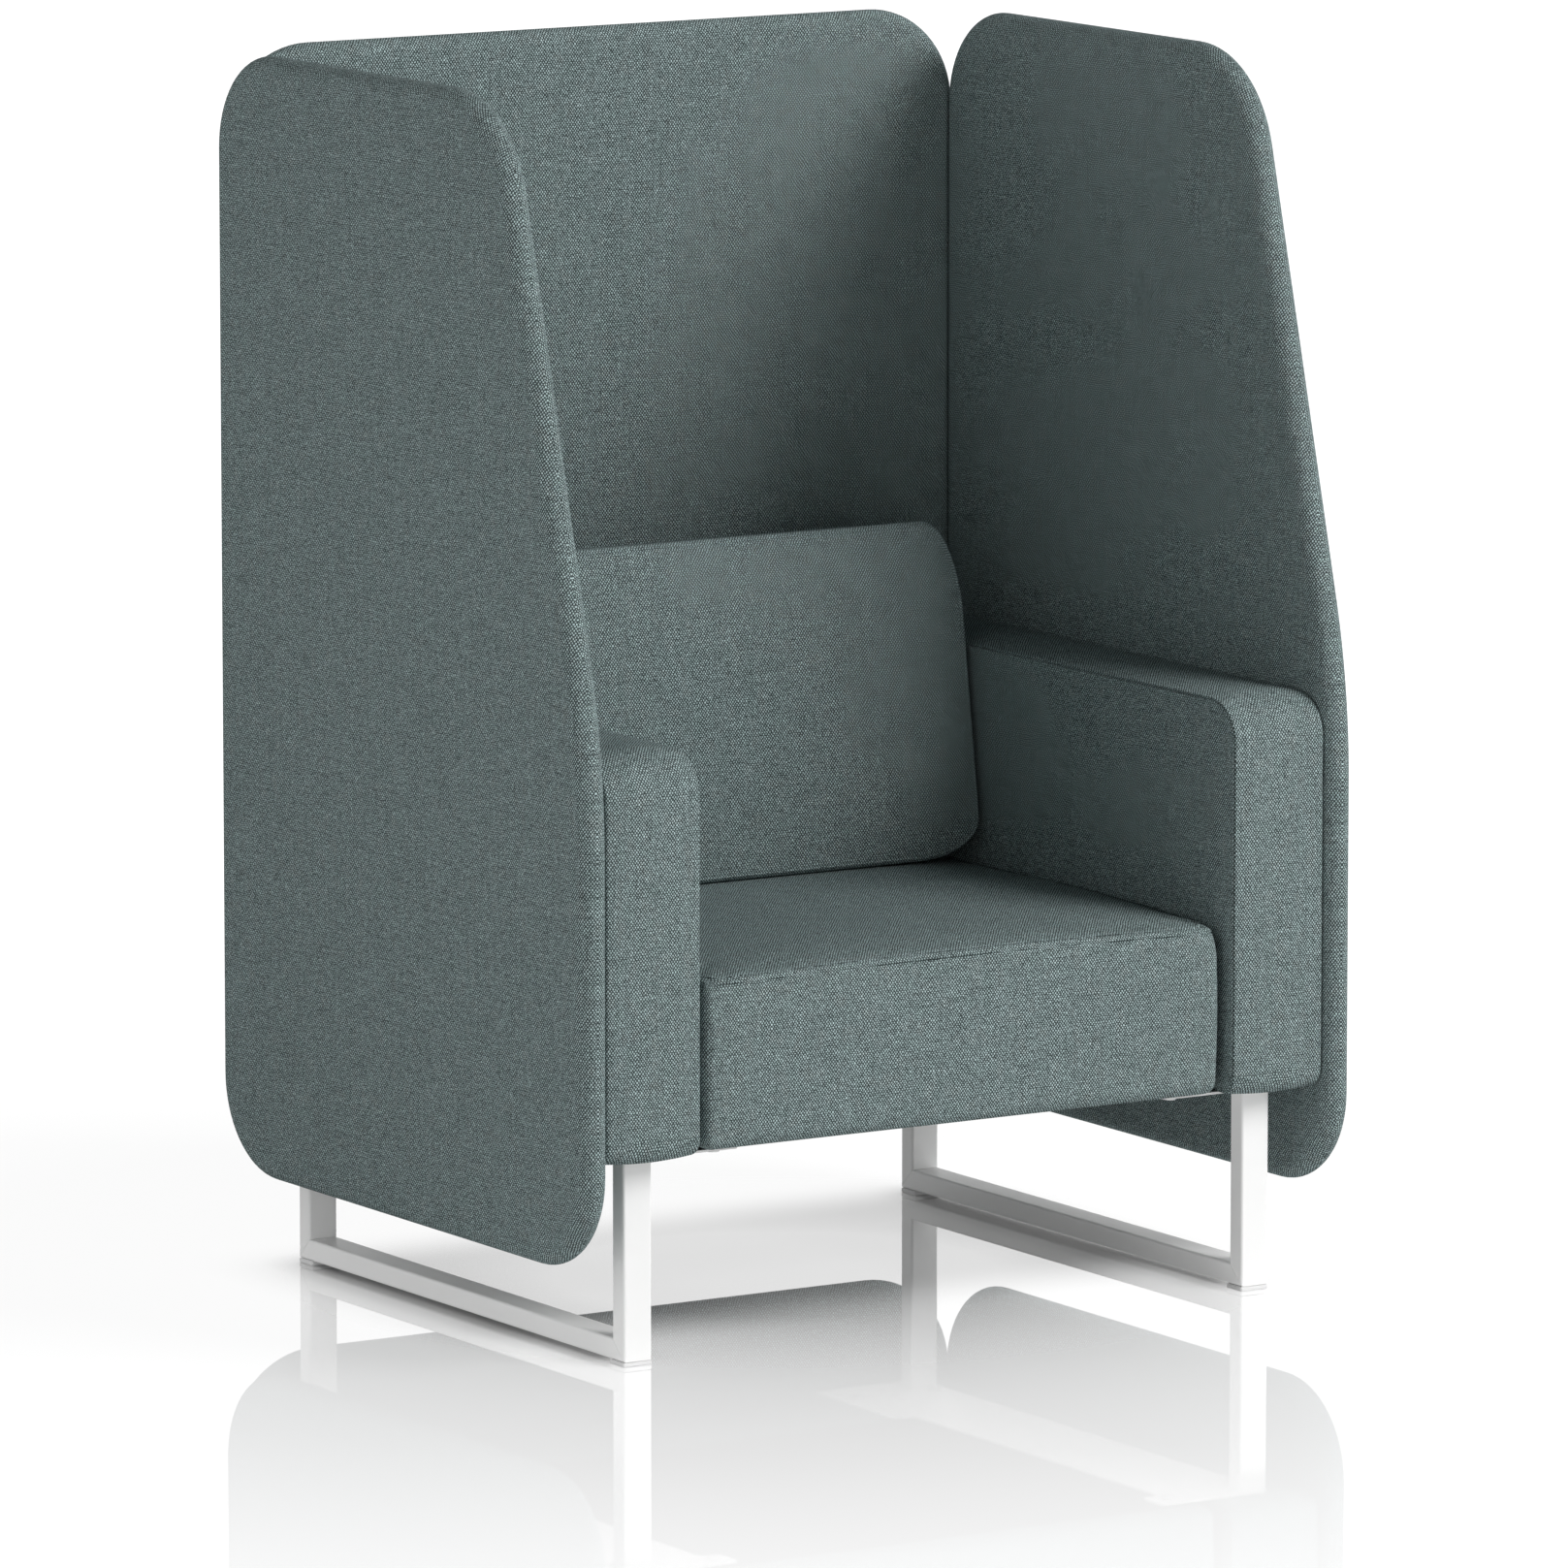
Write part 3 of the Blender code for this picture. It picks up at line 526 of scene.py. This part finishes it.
def strip_threads(rings, run, lay):
    """For each strip between two rings, where its threads lie along both edges, in metres.

    The warp runs along the rings, across them, or on from the nearer panel where one cloth wraps the edge.
    """
    pairs = zip(rings, rings[1:])
    steps = [float(np.linalg.norm(following - ring, axis=1).mean()) for ring, following in pairs]
    travel = np.concatenate(([0.0], np.cumsum(steps)))
    middle = len(rings) // 2
    strips = []
    for level in range(len(rings) - 1):
        edges = []
        for far in travel[level : level + 2]:
            if lay == "wrapped":
                panel, start = (rings[0], 0.0) if level < middle else (rings[-1], travel[-1])
                rim = panel[:, :2]
                out = rings[middle][:, :2] - rim
                edge = rim + out * (abs(far - start) / np.linalg.norm(out, axis=1))[:, None]
                edge = np.vstack((edge, edge[:1]))
            else:
                edge = np.column_stack((run, np.full(len(run), far)))
                if lay == "across":
                    edge = edge[:, ::-1]
            edges.append(edge)
        strips.append(edges)
    return strips


def sewn_mesh(name, rings, run, marks, panels, place, lay="along"):
    """A closed cover: rings of (across, up, depth) points, with a panel over the first and over the last.

    Each face corner keeps the run of the threads there, in metres, as the attribute that the weave reads.
    """
    rings = [np.asarray(ring, float) for ring in rings]
    count = len(rings[0])
    points = list(rings)
    faces, threads = [], []
    for level, (low, high) in enumerate(strip_threads(rings, run, lay)):
        for spot in range(count):
            following = (spot + 1) % count
            here, there = level * count, (level + 1) * count
            faces.append((here + spot, here + following, there + following, there + spot))
            threads.append((low[spot], low[spot + 1], high[spot + 1], high[spot]))
    total = len(rings) * count
    for level, panel in ((0, panels[0]), (len(rings) - 1, panels[1])):
        tall, wide = panel.shape[:2]
        number = np.full((tall, wide), -1, int)
        turned = [(marks[0] + spot) % count + level * count for spot in range(count)]
        first, second, third = ((mark - marks[0]) % count for mark in marks[1:4])
        number[0, :] = turned[: first + 1]
        number[:, -1] = turned[first : second + 1]
        number[-1, :] = turned[second : third + 1][::-1]
        number[:, 0] = (turned[third:] + turned[:1])[::-1]
        inner = panel[1:-1, 1:-1].reshape(-1, 3)
        number[1:-1, 1:-1] = np.arange(total, total + len(inner)).reshape(tall - 2, wide - 2)
        total += len(inner)
        points.append(inner)
        for row in range(tall - 1):
            for column in range(wide - 1):
                cells = ((row, column), (row, column + 1), (row + 1, column + 1), (row + 1, column))
                if level == 0:
                    cells = cells[::-1]
                faces.append(tuple(int(number[cell]) for cell in cells))
                threads.append(tuple((panel[cell][0], panel[cell][1]) for cell in cells))
    points = np.array([place(*point) for point in np.concatenate(points)])
    volume = 0.0
    for face in faces:
        one, two, three, four = (points[spot] for spot in face)
        volume += float(np.dot(one, np.cross(two, three) + np.cross(three, four)))
    if volume < 0:
        faces = [face[::-1] for face in faces]
        threads = [corners[::-1] for corners in threads]
    mesh = bpy.data.meshes.new(name)
    mesh.from_pydata([tuple(point) for point in points], [], faces)
    flat = np.array([(*corner, 0.0) for corners in threads for corner in corners], np.float32)
    mesh.attributes.new("thread", "FLOAT_VECTOR", "CORNER").data.foreach_set("vector", flat.ravel())
    mesh.polygons.foreach_set("use_smooth", [True] * len(mesh.polygons))
    mesh.update()
    return mesh


def add_piece(name, mesh, finish, slot, *replaced):
    piece = bpy.data.objects.new(name, mesh)
    scene.collection.objects.link(piece)
    dress(piece, finish)
    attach(piece, "root")
    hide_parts(*replaced)
    return piece


def ease(low, high, value):
    share = min(1.0, max(0.0, (value - low) / (high - low)))
    return share * share * (3 - 2 * share)


def seam_round(radius, depth):
    """(drawn in, sunk) places round an arris of two rolled edges that meet in a sewn groove."""
    angles = (0, 10, 18, 26, 33, 40, 48, 56, 72, 90)
    groove = (0.0, 0.05, -0.3, -0.9, -1.0, -0.9, -0.3, 0.05, 0.0, 0.0)
    places = []
    for angle, out in zip(angles, groove):
        turn = math.radians(angle)
        reach = radius + out * depth
        places.append((radius - reach * math.sin(turn), radius - reach * math.cos(turn)))
    return places


under = 0.2316
arm_inner, arm_outer = 0.346, 0.4657
arm_front, arm_rear = -0.4042, 0.3794
arm_top = 0.678


def arm_cover(side, sign):
    edge, groove = 0.0038, 0.0026
    top_crown, front_crown, sag, swell = 0.005, 0.002, 0.004, 0.0025
    bracket_front = -0.3682
    sag_none, sag_full = bracket_front - 0.004, bracket_front - 0.022
    strip_steps, edge_steps = 15, 6
    corners = [
        (arm_front, under, 0.022, 10, 46),
        (arm_rear, under, 0.006, 10, 30),
        (arm_rear, arm_top, 0.006, 10, 46),
        (arm_front, arm_top, 0.052, 10, 30),
    ]
    middle, half = (arm_inner + arm_outer) / 2, (arm_outer - arm_inner) / 2
    stations = []
    for drawn, sunk in seam_round(edge, groove):
        stations.append((drawn, arm_inner + sunk))
    width = arm_outer - arm_inner - 2 * edge
    for step in range(1, strip_steps):
        stations.append((0.0, arm_inner + edge + width * step / strip_steps))
    for step in range(edge_steps + 1):
        angle = math.pi / 2 * step / edge_steps
        stations.append((edge * (1 - math.cos(angle)), arm_outer - edge + edge * math.sin(angle)))
    rings = []
    run = None
    for drawn, across in stations:
        points, normals, length, marks = rounded_outline(corners, drawn)
        if run is None:
            run = length
        offset = (across - middle) / half
        ring = []
        for (deep, high), normal in zip(points, normals):
            fall = offset**2 * (top_crown * max(normal[1], 0) ** 2 + front_crown * max(-normal[0], 0) ** 2)
            drop = sag * (1 - offset**2) * max(-normal[1], 0) * ease(sag_none, sag_full, deep)
            ring.append((deep - normal[0] * (fall - drop), high - normal[1] * (fall - drop), across))
        rings.append(ring)
    inner = plump(panel_grid(np.array(rings[0]), marks)[0], -1, swell)
    outer = panel_grid(np.array(rings[-1]), marks)[0]

    def stand(deep, high, across):
        return sign * across, deep, high

    mesh = sewn_mesh(side + "_arm", rings, run, marks, [inner, outer], stand, "across")
    piece = add_piece(side + "_arm", mesh, upholstery, "woven_fabric", side + "_arm_cover")


for side, sign in sides.items():
    arm_cover(side, sign)


# Inner back: a padded timber frame between the arms that leans back and carries the loose cushion.
# Covered in the same cloth, with soft rounded ends, and mostly hidden by the cushion.
back_lean = math.radians(8.56)


def inner_back_cover():
    half = 0.343
    edge = 0.012
    top, top_front = 0.735, 0.2874
    end_steps, strip_steps = 8, 40
    foot_front = top_front - (top - under) * math.tan(back_lean)
    corners = [
        (foot_front, under, 0.006, 6, 14),
        (arm_rear, under, 0.006, 6, 34),
        (arm_rear, top, 0.006, 6, 14),
        (top_front, top, 0.018, 6, 34),
    ]
    stations = []
    for step in range(end_steps + 1):
        angle = math.pi / 2 * step / end_steps
        stations.append((edge * (1 - math.sin(angle)), -half + edge * (1 - math.cos(angle))))
    width = 2 * (half - edge)
    for step in range(1, strip_steps):
        stations.append((0.0, -half + edge + width * step / strip_steps))
    for step in range(end_steps + 1):
        angle = math.pi / 2 * step / end_steps
        stations.append((edge * (1 - math.cos(angle)), half - edge + edge * math.sin(angle)))
    rings = []
    for drawn, across in stations:
        points, _, _, marks = rounded_outline(corners, drawn)
        rings.append([(deep, max(high, under), across) for deep, high in points])
    run = rounded_outline(corners)[2]
    panels = [panel_grid(np.array(ring), marks)[0] for ring in (rings[0], rings[-1])]
    mesh = sewn_mesh("inner_back", rings, run, marks, panels, lambda deep, high, across: (across, deep, high))
    piece = add_piece("inner_back", mesh, upholstery, "woven_fabric", "inner_back_cover")


inner_back_cover()


# Seat: foam over a deck board, with a crowned top panel that rolls over the edge and is sewn to a deep
# boxing strip. The strip turns under the frame, where a thin black lining closes it.
seat_half, seat_front, seat_rear = 0.336, -0.3952, 0.2113
seat_bottom, seat_top = 0.2331, 0.434


def seat_cover():
    corner, lower, bulge = 0.014, 0.015, 0.002
    seam_low, seam_rise, roll, roll_start, reach = 0.4150, 0.0050, 0.004, 1.4, 0.170
    stitch, groove, gather = 0.0013, 0.0016, 0.0008
    stitch_line = ((-1.0, 0.35), (-0.3, 1.0), (0.3, 0.7), (0.8, -0.6))
    tuck_even, tuck_uneven, tuck_least, tuck_grain, tuck_layer = 0.5, 2.2, -0.2, 34, 5.0
    gather_reach, gather_grain, gather_rise = 0.010, 55, 20
    pillow, pillow_low, pillow_ends = 0.016, 0.030, 0.35
    cushion_front, held_reach, swell = 0.03, 0.08, 0.003
    lower_steps, side_steps, side_crowding, roll_steps = 6, 24, 1.6, 5
    corners = [
        (-seat_half, seat_front, corner, 8, 84),
        (seat_half, seat_front, corner, 8, 76),
        (seat_half, seat_rear, corner, 8, 84),
        (-seat_half, seat_rear, corner, 8, 76),
    ]
    middle, half_deep = (seat_front + seat_rear) / 2, (seat_rear - seat_front) / 2

    # Each level: how far it is drawn in, its height, its share of the seam's rise, and its shares of the
    # stitches and the gathers
    levels = []
    for step in range(lower_steps + 1):
        angle = math.pi / 2 * step / lower_steps
        drawn = lower * (1 - math.sin(angle)) + bulge
        levels.append((drawn, seat_bottom + lower * (1 - math.cos(angle)), 0.0, 0.0, 0.0))
    side_low, side_high = seat_bottom + lower, seam_low - 2 * stitch
    for step in range(1, side_steps + 1):
        share = 1 - (1 - step / side_steps) ** side_crowding
        near = math.exp((share - 1) * (side_high - side_low) / gather_reach)
        high = side_low + (side_high - side_low) * share
        levels.append((bulge * (1 - math.sin(math.pi * share)), high, share, 0.0, near))
    for place, tuck in stitch_line:
        levels.append((bulge, seam_low + place * stitch, 1.0, tuck, 1.0))
    low = seam_low + roll_start * stitch
    for step in range(roll_steps + 1):
        angle = math.pi / 2 * step / roll_steps
        drawn = bulge + roll * (1 - math.cos(angle))
        levels.append((drawn, low + roll * math.sin(angle), 1.0, 0.0, 1 - step / (2 * roll_steps)))
    rings = []
    for drawn, high, follow, tuck, near in levels:
        points, normals, _, marks = rounded_outline(corners, drawn)
        ring = []
        for (across, deep), normal in zip(points, normals):
            bow = max(1 - (across / seat_half) ** 2, 1 - ((deep - middle) / half_deep) ** 2, 0.0)
            rounded = max(0.0, 1 - bow / pillow_ends) ** 2
            climb = (high - seam_low + pillow_low) / (low + roll - seam_low + pillow_low)
            climb = min(1.0, max(0.0, climb))
            slack = noise.noise(Vector((across * gather_grain, deep * gather_grain, high * gather_rise)))
            pulled = noise.noise(Vector((across * tuck_grain, deep * tuck_grain, tuck_layer)))
            draw = tuck * groove * (tuck_even + tuck_uneven * max(pulled, tuck_least)) + near * gather * slack
            draw += rounded * pillow * (1 - math.sqrt(1 - climb**2))
            ring.append((across - normal[0] * draw, deep - normal[1] * draw, high + follow * seam_rise * bow))
        rings.append(ring)
    run = rounded_outline(corners)[2]
    floor_grid = panel_grid(np.array(rings[0]), marks)[0]
    top_grid, rims = panel_grid(np.array(rings[-1]), marks)
    top_grid[:, :, 2] += (seat_top - top_grid[:, :, 2]) * crown(rims, reach)
    held = np.clip((top_grid[:, :, 1] - cushion_front + held_reach) / held_reach, 0, 1)
    top_grid = plump(top_grid, 1, swell, held)
    mesh = sewn_mesh("seat", rings, run, marks, [floor_grid, top_grid], lambda *point: point)
    piece = add_piece("seat", mesh, upholstery, "woven_fabric", "seat_cover")


seat_cover()


# Seat lining: a thin black cloth stapled to the underside of the seat frame, over the brackets' tabs.
# It is pulled tight at its edges and sags slightly between the sleds.
def seat_lining():
    inset = 0.022
    half, front, rear = 0.3125, seat_front + inset, seat_rear - inset
    high, sag, sag_half, sag_flatness = 0.2323, 0.003, 0.17, 0.7
    wide, deep = 40, 36
    points, faces = [], []
    for row in range(deep + 1):
        for column in range(wide + 1):
            across = -half + 2 * half * column / wide
            along = front + (rear - front) * row / deep
            slack = ease(half, sag_half, abs(across)) * math.sin(math.pi * row / deep) ** sag_flatness
            points.append((across, along, high - sag * slack))
    for row in range(deep):
        for column in range(wide):
            spot = row * (wide + 1) + column
            faces.append((spot, spot + wide + 1, spot + wide + 2, spot + 1))
    mesh = bpy.data.meshes.new("seat_lining_cloth")
    mesh.from_pydata(points, [], faces)
    flat = np.array([(*points[spot][:2], 0.0) for face in faces for spot in face], np.float32)
    mesh.attributes.new("thread", "FLOAT_VECTOR", "CORNER").data.foreach_set("vector", flat.ravel())
    mesh.polygons.foreach_set("use_smooth", [True] * len(mesh.polygons))
    black_cloth = woven(
        "lining_weave",
        light=(0.030, 0.030, 0.032),
        dark=(0.014, 0.014, 0.015),
        spacing=(0.0007, 0.0007),
        gap_shade=0.5,
        slub=0.4,
        speckle=0.3,
        relief=0.2,
    )
    piece = add_piece("seat_lining_cloth", mesh, black_cloth, "dark_cloth", "seat_lining")


seat_lining()


# Back cushion: a loose foam cushion with a crowned front panel, sewn to a boxing strip that draws in
# between its seams. It stands level on the seat and leans on the inner back.
def back_cushion_cover():
    half, height, thick = 0.337, 0.388, 0.158
    edge, fullness, swell, reach, draw, ridge = 0.011, 0.008, 0.004, 0.100, 0.003, 0.0009
    low_wide, low_tall, high_wide, high_tall = 0.085, 0.046, 0.046, 0.112
    rear_steps, strip_steps = 7, 14
    seam_angles = (12, 24, 36, 46, 52, 56, 60, 64, 68, 74, 82, 90)
    seam_shape = (0, 0, 0, -0.5, -0.9, 0.4, 1, 0.4, -0.9, -0.5, 0, 0)
    low_box, high_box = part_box("back_cushion")
    corners = [
        (-half, -height, (low_tall, low_wide), 20, 44),
        (half, -height, (low_wide, low_tall), 20, 22),
        (half, 0.0, (high_tall, high_wide), 20, 44),
        (-half, 0.0, (high_wide, high_tall), 20, 22),
    ]
    levels = []
    for step in range(rear_steps + 1):
        angle = math.pi / 2 * step / rear_steps
        levels.append((edge * (1 - math.sin(angle)), edge * (1 - math.cos(angle))))
    front_edge = thick - fullness - edge
    for step in range(1, strip_steps + 1):
        share = step / strip_steps
        levels.append((draw * math.sin(math.pi * share), edge + (front_edge - edge) * share))
    # The front panel's seam stands on the rounded edge as a thin ridge between two shallow dips
    for angle, out in zip(seam_angles, seam_shape):
        turn = math.radians(angle)
        far = edge + out * ridge
        levels.append((edge - far * math.cos(turn), front_edge + far * math.sin(turn)))
    rings = []
    for drawn, deep in levels:
        points, _, _, marks = rounded_outline(corners, drawn)
        lift = (thick - deep) * math.tan(back_lean)
        squeeze = 1 - lift / height
        rings.append([(across, high * squeeze, deep) for across, high in points])
    run = rounded_outline(corners)[2]
    rear_grid = panel_grid(np.array(rings[0]), marks)[0]
    front_grid, rims = panel_grid(np.array(rings[-1]), marks)
    front_grid[:, :, 2] += fullness * crown(rims, reach - edge)
    front_grid = plump(front_grid, 1, swell)
    cosine, sine = math.cos(back_lean), math.sin(back_lean)

    def leaning(across, high, deep):
        return across, high * sine - deep * cosine, high * cosine + deep * sine

    mesh = sewn_mesh("back_cushion_pad", rings, run, marks, [rear_grid, front_grid], leaning)
    spots = np.array([vertex.co for vertex in mesh.vertices])
    shift = (0.0, high_box.y - spots[:, 1].max(), low_box.z - spots[:, 2].min())
    for vertex in mesh.vertices:
        vertex.co = vertex.co + Vector(shift)
    piece = add_piece("back_cushion_pad", mesh, upholstery, "woven_fabric", "back_cushion")


back_cushion_cover()


# Screens: a board with thin foam on both faces in a tight cover, its edges full round and seamless.
# The two sides slant forwards to the arms, and meet the back screen along its rounded rear edges.
def screen_cover(name, corners, centre, place, replaced):
    round_edge, fullness, crown_reach = 0.017, 0.0008, 0.12
    steps = 16
    rings = []
    for step in range(steps + 1):
        angle = math.pi * step / steps - math.pi / 2
        points, _, _, marks = rounded_outline(corners, round_edge * (1 - math.cos(angle)))
        deep = (round_edge - fullness) * math.sin(angle)
        rings.append([(across, high, centre + deep) for across, high in points])
    run = rounded_outline(corners)[2]
    marks = marks[:4]
    panels = []
    for ring, way in ((rings[0], -1), (rings[-1], 1)):
        grid, rims = panel_grid(np.array(ring), marks)
        grid[:, :, 2] += way * fullness * crown(rims, crown_reach)
        panels.append(grid)
    mesh = sewn_mesh(name, rings, run, marks, panels, place, "wrapped")
    piece = add_piece(name, mesh, upholstery, "woven_fabric", replaced)


screen_low, screen_high, screen_front = 0.112, 1.376, -0.4137
corner_round, slant_round = 0.110, 0.141
side_centre, side_rear = 0.483, 0.38517
bend_high, bend_radius, slant = 0.677, 0.790, math.radians(15.0)
slant_top = screen_front + (screen_high - bend_high) * math.tan(slant)
side_corners = [
    (screen_front, screen_low, corner_round, 16, 40),
    (side_rear, screen_low, corner_round, 16, 72),
    (side_rear, screen_high, corner_round, 16, 40),
    (slant_top, screen_high, slant_round, 16, 30),
    (screen_front, bend_high, bend_radius, 12, 30),
]
back_centre, back_half = 0.3967, 0.48097
back_corners = [
    (-back_half, screen_low, corner_round, 16, 56),
    (back_half, screen_low, corner_round, 16, 72),
    (back_half, screen_high, corner_round, 16, 56),
    (-back_half, screen_high, corner_round, 16, 72),
]
for side, sign in sides.items():
    screen_cover(
        side + "_screen",
        side_corners,
        side_centre,
        lambda deep, high, across, sign=sign: (sign * across, deep, high),
        side + "_screen_cover",
    )
screen_cover(
    "back_screen",
    back_corners,
    back_centre,
    lambda across, high, deep: (across, deep, high),
    "back_screen_cover",
)


# Studio: a plain white floor that fades into a white surround, one large soft light from the front right,
# weaker ones from the left and the right, and the camera that the photograph was taken from.
def seen_rays(tree):
    """1 where the camera, a reflection or glass sees the studio, and 0 where the studio lights the seat."""
    rays = add_node(tree, "LightPath")
    seen = calc(tree, "MAXIMUM", rays.outputs["Is Camera Ray"], rays.outputs["Is Glossy Ray"])
    return calc(tree, "MAXIMUM", seen, rays.outputs["Is Transmission Ray"])


def floor_finish():
    """A white floor, polished round the seat and matt further out, that is seen as white.

    Painted shadow dims its glow where the seat stands close over it, and along the sleds behind their front
    legs.
    """
    bounce, painted, glow_near, glow_far = 0.86, 0.22, 0.89, 0.2
    far_from, far_to = 1.0, 3.0
    seat_shade, sled_shade = 0.4, 0.05
    still, wide_fall, close_fall, close_share = 0.25, -0.55, -4.0, 0.7
    polish_roughness, polish_ior, most_shine = 0.012, 1.7, 0.8
    # Each fade is full at its first place and gone at its second, in metres from the seat's middle
    side_fade, front_fade, rear_fade, sled_fade = (0.38, 0.56), (-0.08, -0.28), (0.26, 0.46), (-0.28, -0.36)
    finish, tree, matt = new_finish("studio_floor", 1.0)
    finish.cycles.emission_sampling = "NONE"
    seen = seen_rays(tree)
    matt.inputs["Specular IOR Level"].default_value = 0.0
    paint = add_node(tree, "Mix", {"Factor": seen}, data_type="RGBA")
    paint.inputs["A"].default_value = (bounce, bounce, bounce, 1)
    paint.inputs["B"].default_value = (painted, painted, painted, 1)
    tree.links.new(paint.outputs["Result"], matt.inputs["Base Color"])
    place = add_node(tree, "TexCoord").outputs["Object"]
    spot = add_node(tree, "SeparateXYZ", {0: place})

    def fade(value, full, none):
        faded = add_node(tree, "MapRange", {"Value": value, 1: full, 2: none, 3: 1.0, 4: 0.0})
        faded.interpolation_type = "SMOOTHSTEP"
        return faded.outputs["Result"]

    def closed(distance):
        opened = add_node(tree, "AmbientOcclusion", {"Distance": distance}, samples=8).outputs["AO"]
        return calc(tree, "SUBTRACT", 1.0, opened)

    def less(value, share):
        return calc(tree, "MULTIPLY", value, calc(tree, "SUBTRACT", 1.0, share))

    side = fade(calc(tree, "ABSOLUTE", spot.outputs["X"]), *side_fade)
    front = fade(spot.outputs["Y"], *front_fade)
    ends = calc(tree, "MULTIPLY", front, fade(spot.outputs["Y"], *rear_fade))
    painted_shadow_area = calc(tree, "MULTIPLY", side, ends)
    # Painted shadow: ambient occlusion dims the seen glow under the seat, and along the sleds as a contact
    # shadow
    lift = less(glow_near, calc(tree, "MULTIPLY", painted_shadow_area, closed(seat_shade)))
    lift = less(lift, calc(tree, "MULTIPLY", closed(sled_shade), fade(spot.outputs["Y"], *sled_fade)))
    away = add_node(tree, "VectorMath", {0: place}, operation="LENGTH").outputs["Value"]
    further = add_node(tree, "MapRange", {"Value": away, 1: far_from, 2: far_to, 3: 0.0, 4: glow_far})
    lift = calc(tree, "ADD", lift, further.outputs["Result"])
    glow = add_node(tree, "Emission", {"Color": (1, 1, 1, 1), "Strength": calc(tree, "MULTIPLY", seen, lift)})
    white = add_node(tree, "AddShader", {0: matt.outputs[0], 1: glow.outputs[0]})
    polish = add_node(tree, "BsdfGlossy", {"Color": (1, 1, 1, 1), "Roughness": polish_roughness})
    past = calc(tree, "MAXIMUM", calc(tree, "SUBTRACT", away, still), 0.0)
    wide = calc(tree, "EXPONENT", calc(tree, "MULTIPLY", past, wide_fall))
    close = calc(tree, "EXPONENT", calc(tree, "MULTIPLY", past, close_fall))
    near = calc(tree, "MULTIPLY_ADD", close, close_share, wide)
    shine = calc(tree, "MULTIPLY", add_node(tree, "Fresnel", {"IOR": polish_ior}).outputs[0], near)
    shine = calc(tree, "MINIMUM", shine, most_shine)
    both = add_node(tree, "MixShader", {0: shine, 1: white.outputs[0], 2: polish.outputs[0]})
    tree.links.new(both.outputs[0], tree.nodes["Material Output"].inputs["Surface"])
    return finish


floor_half = 30.0
floor_corners = [(x * floor_half, y * floor_half, 0) for x, y in ((-1, -1), (1, -1), (1, 1), (-1, 1))]
floor_mesh = bpy.data.meshes.new("studio_floor")
floor_mesh.from_pydata(floor_corners, [], [(0, 1, 2, 3)])
floor = bpy.data.objects.new("studio_floor", floor_mesh)
scene.collection.objects.link(floor)
dress(floor, floor_finish())

sky_fall, sky_strength, horizon = 2.3, 1.10, -0.02
world = bpy.data.worlds.new("studio")
scene.world = world
world.use_nodes = True
sky = world.node_tree
rise = add_node(sky, "SeparateXYZ", {0: add_node(sky, "TexCoord").outputs["Generated"]}).outputs["Z"]
low_down = calc(sky, "SUBTRACT", 1.0, calc(sky, "MAXIMUM", rise, 0.0))
surround = calc(sky, "MULTIPLY", calc(sky, "POWER", low_down, sky_fall), sky_strength)
surround = calc(sky, "MULTIPLY", surround, calc(sky, "GREATER_THAN", rise, horizon))
level = add_node(sky, "Mix", {"Factor": seen_rays(sky), "A": surround, "B": 1.0}).outputs["Result"]
sky.nodes["Background"].inputs["Color"].default_value = (1, 1, 1, 1)
sky.links.new(level, sky.nodes["Background"].inputs["Strength"])


def soft_light(name, towards, distance, size, power):
    """A square lamp in a direction from the seat's middle, turned to face it."""
    aim = Vector((0, 0, 0.65))
    lamp = bpy.data.lights.new(name, "AREA")
    lamp.shape = "SQUARE"
    lamp.size = size
    lamp.energy = power
    light = bpy.data.objects.new(name, lamp)
    scene.collection.objects.link(light)
    away = Vector(towards).normalized()
    light.location = aim + away * distance
    light.rotation_euler = away.to_track_quat("Z", "Y").to_euler()


soft_light("key_light", towards=(0.476, -0.660, 0.581), distance=10.0, size=4.6, power=752.0)
soft_light("left_light", towards=(-0.892, -0.157, 0.423), distance=5.0, size=4.5, power=55.0)
soft_light("right_light", towards=(0.981, 0.086, 0.174), distance=5.0, size=4.5, power=40.0)

lens = bpy.data.cameras.new("photo_camera")
lens.lens = 290.86
lens.sensor_width = 36.0
lens.clip_end = 100.0
camera = bpy.data.objects.new("photo_camera", lens)
scene.collection.objects.link(camera)
camera.location = (-7.39235, -11.88291, 2.74177)
camera.rotation_euler = (math.radians(81.13), 0.0, math.radians(-31.92))
scene.camera = camera
scene.view_settings.view_transform = "Standard"
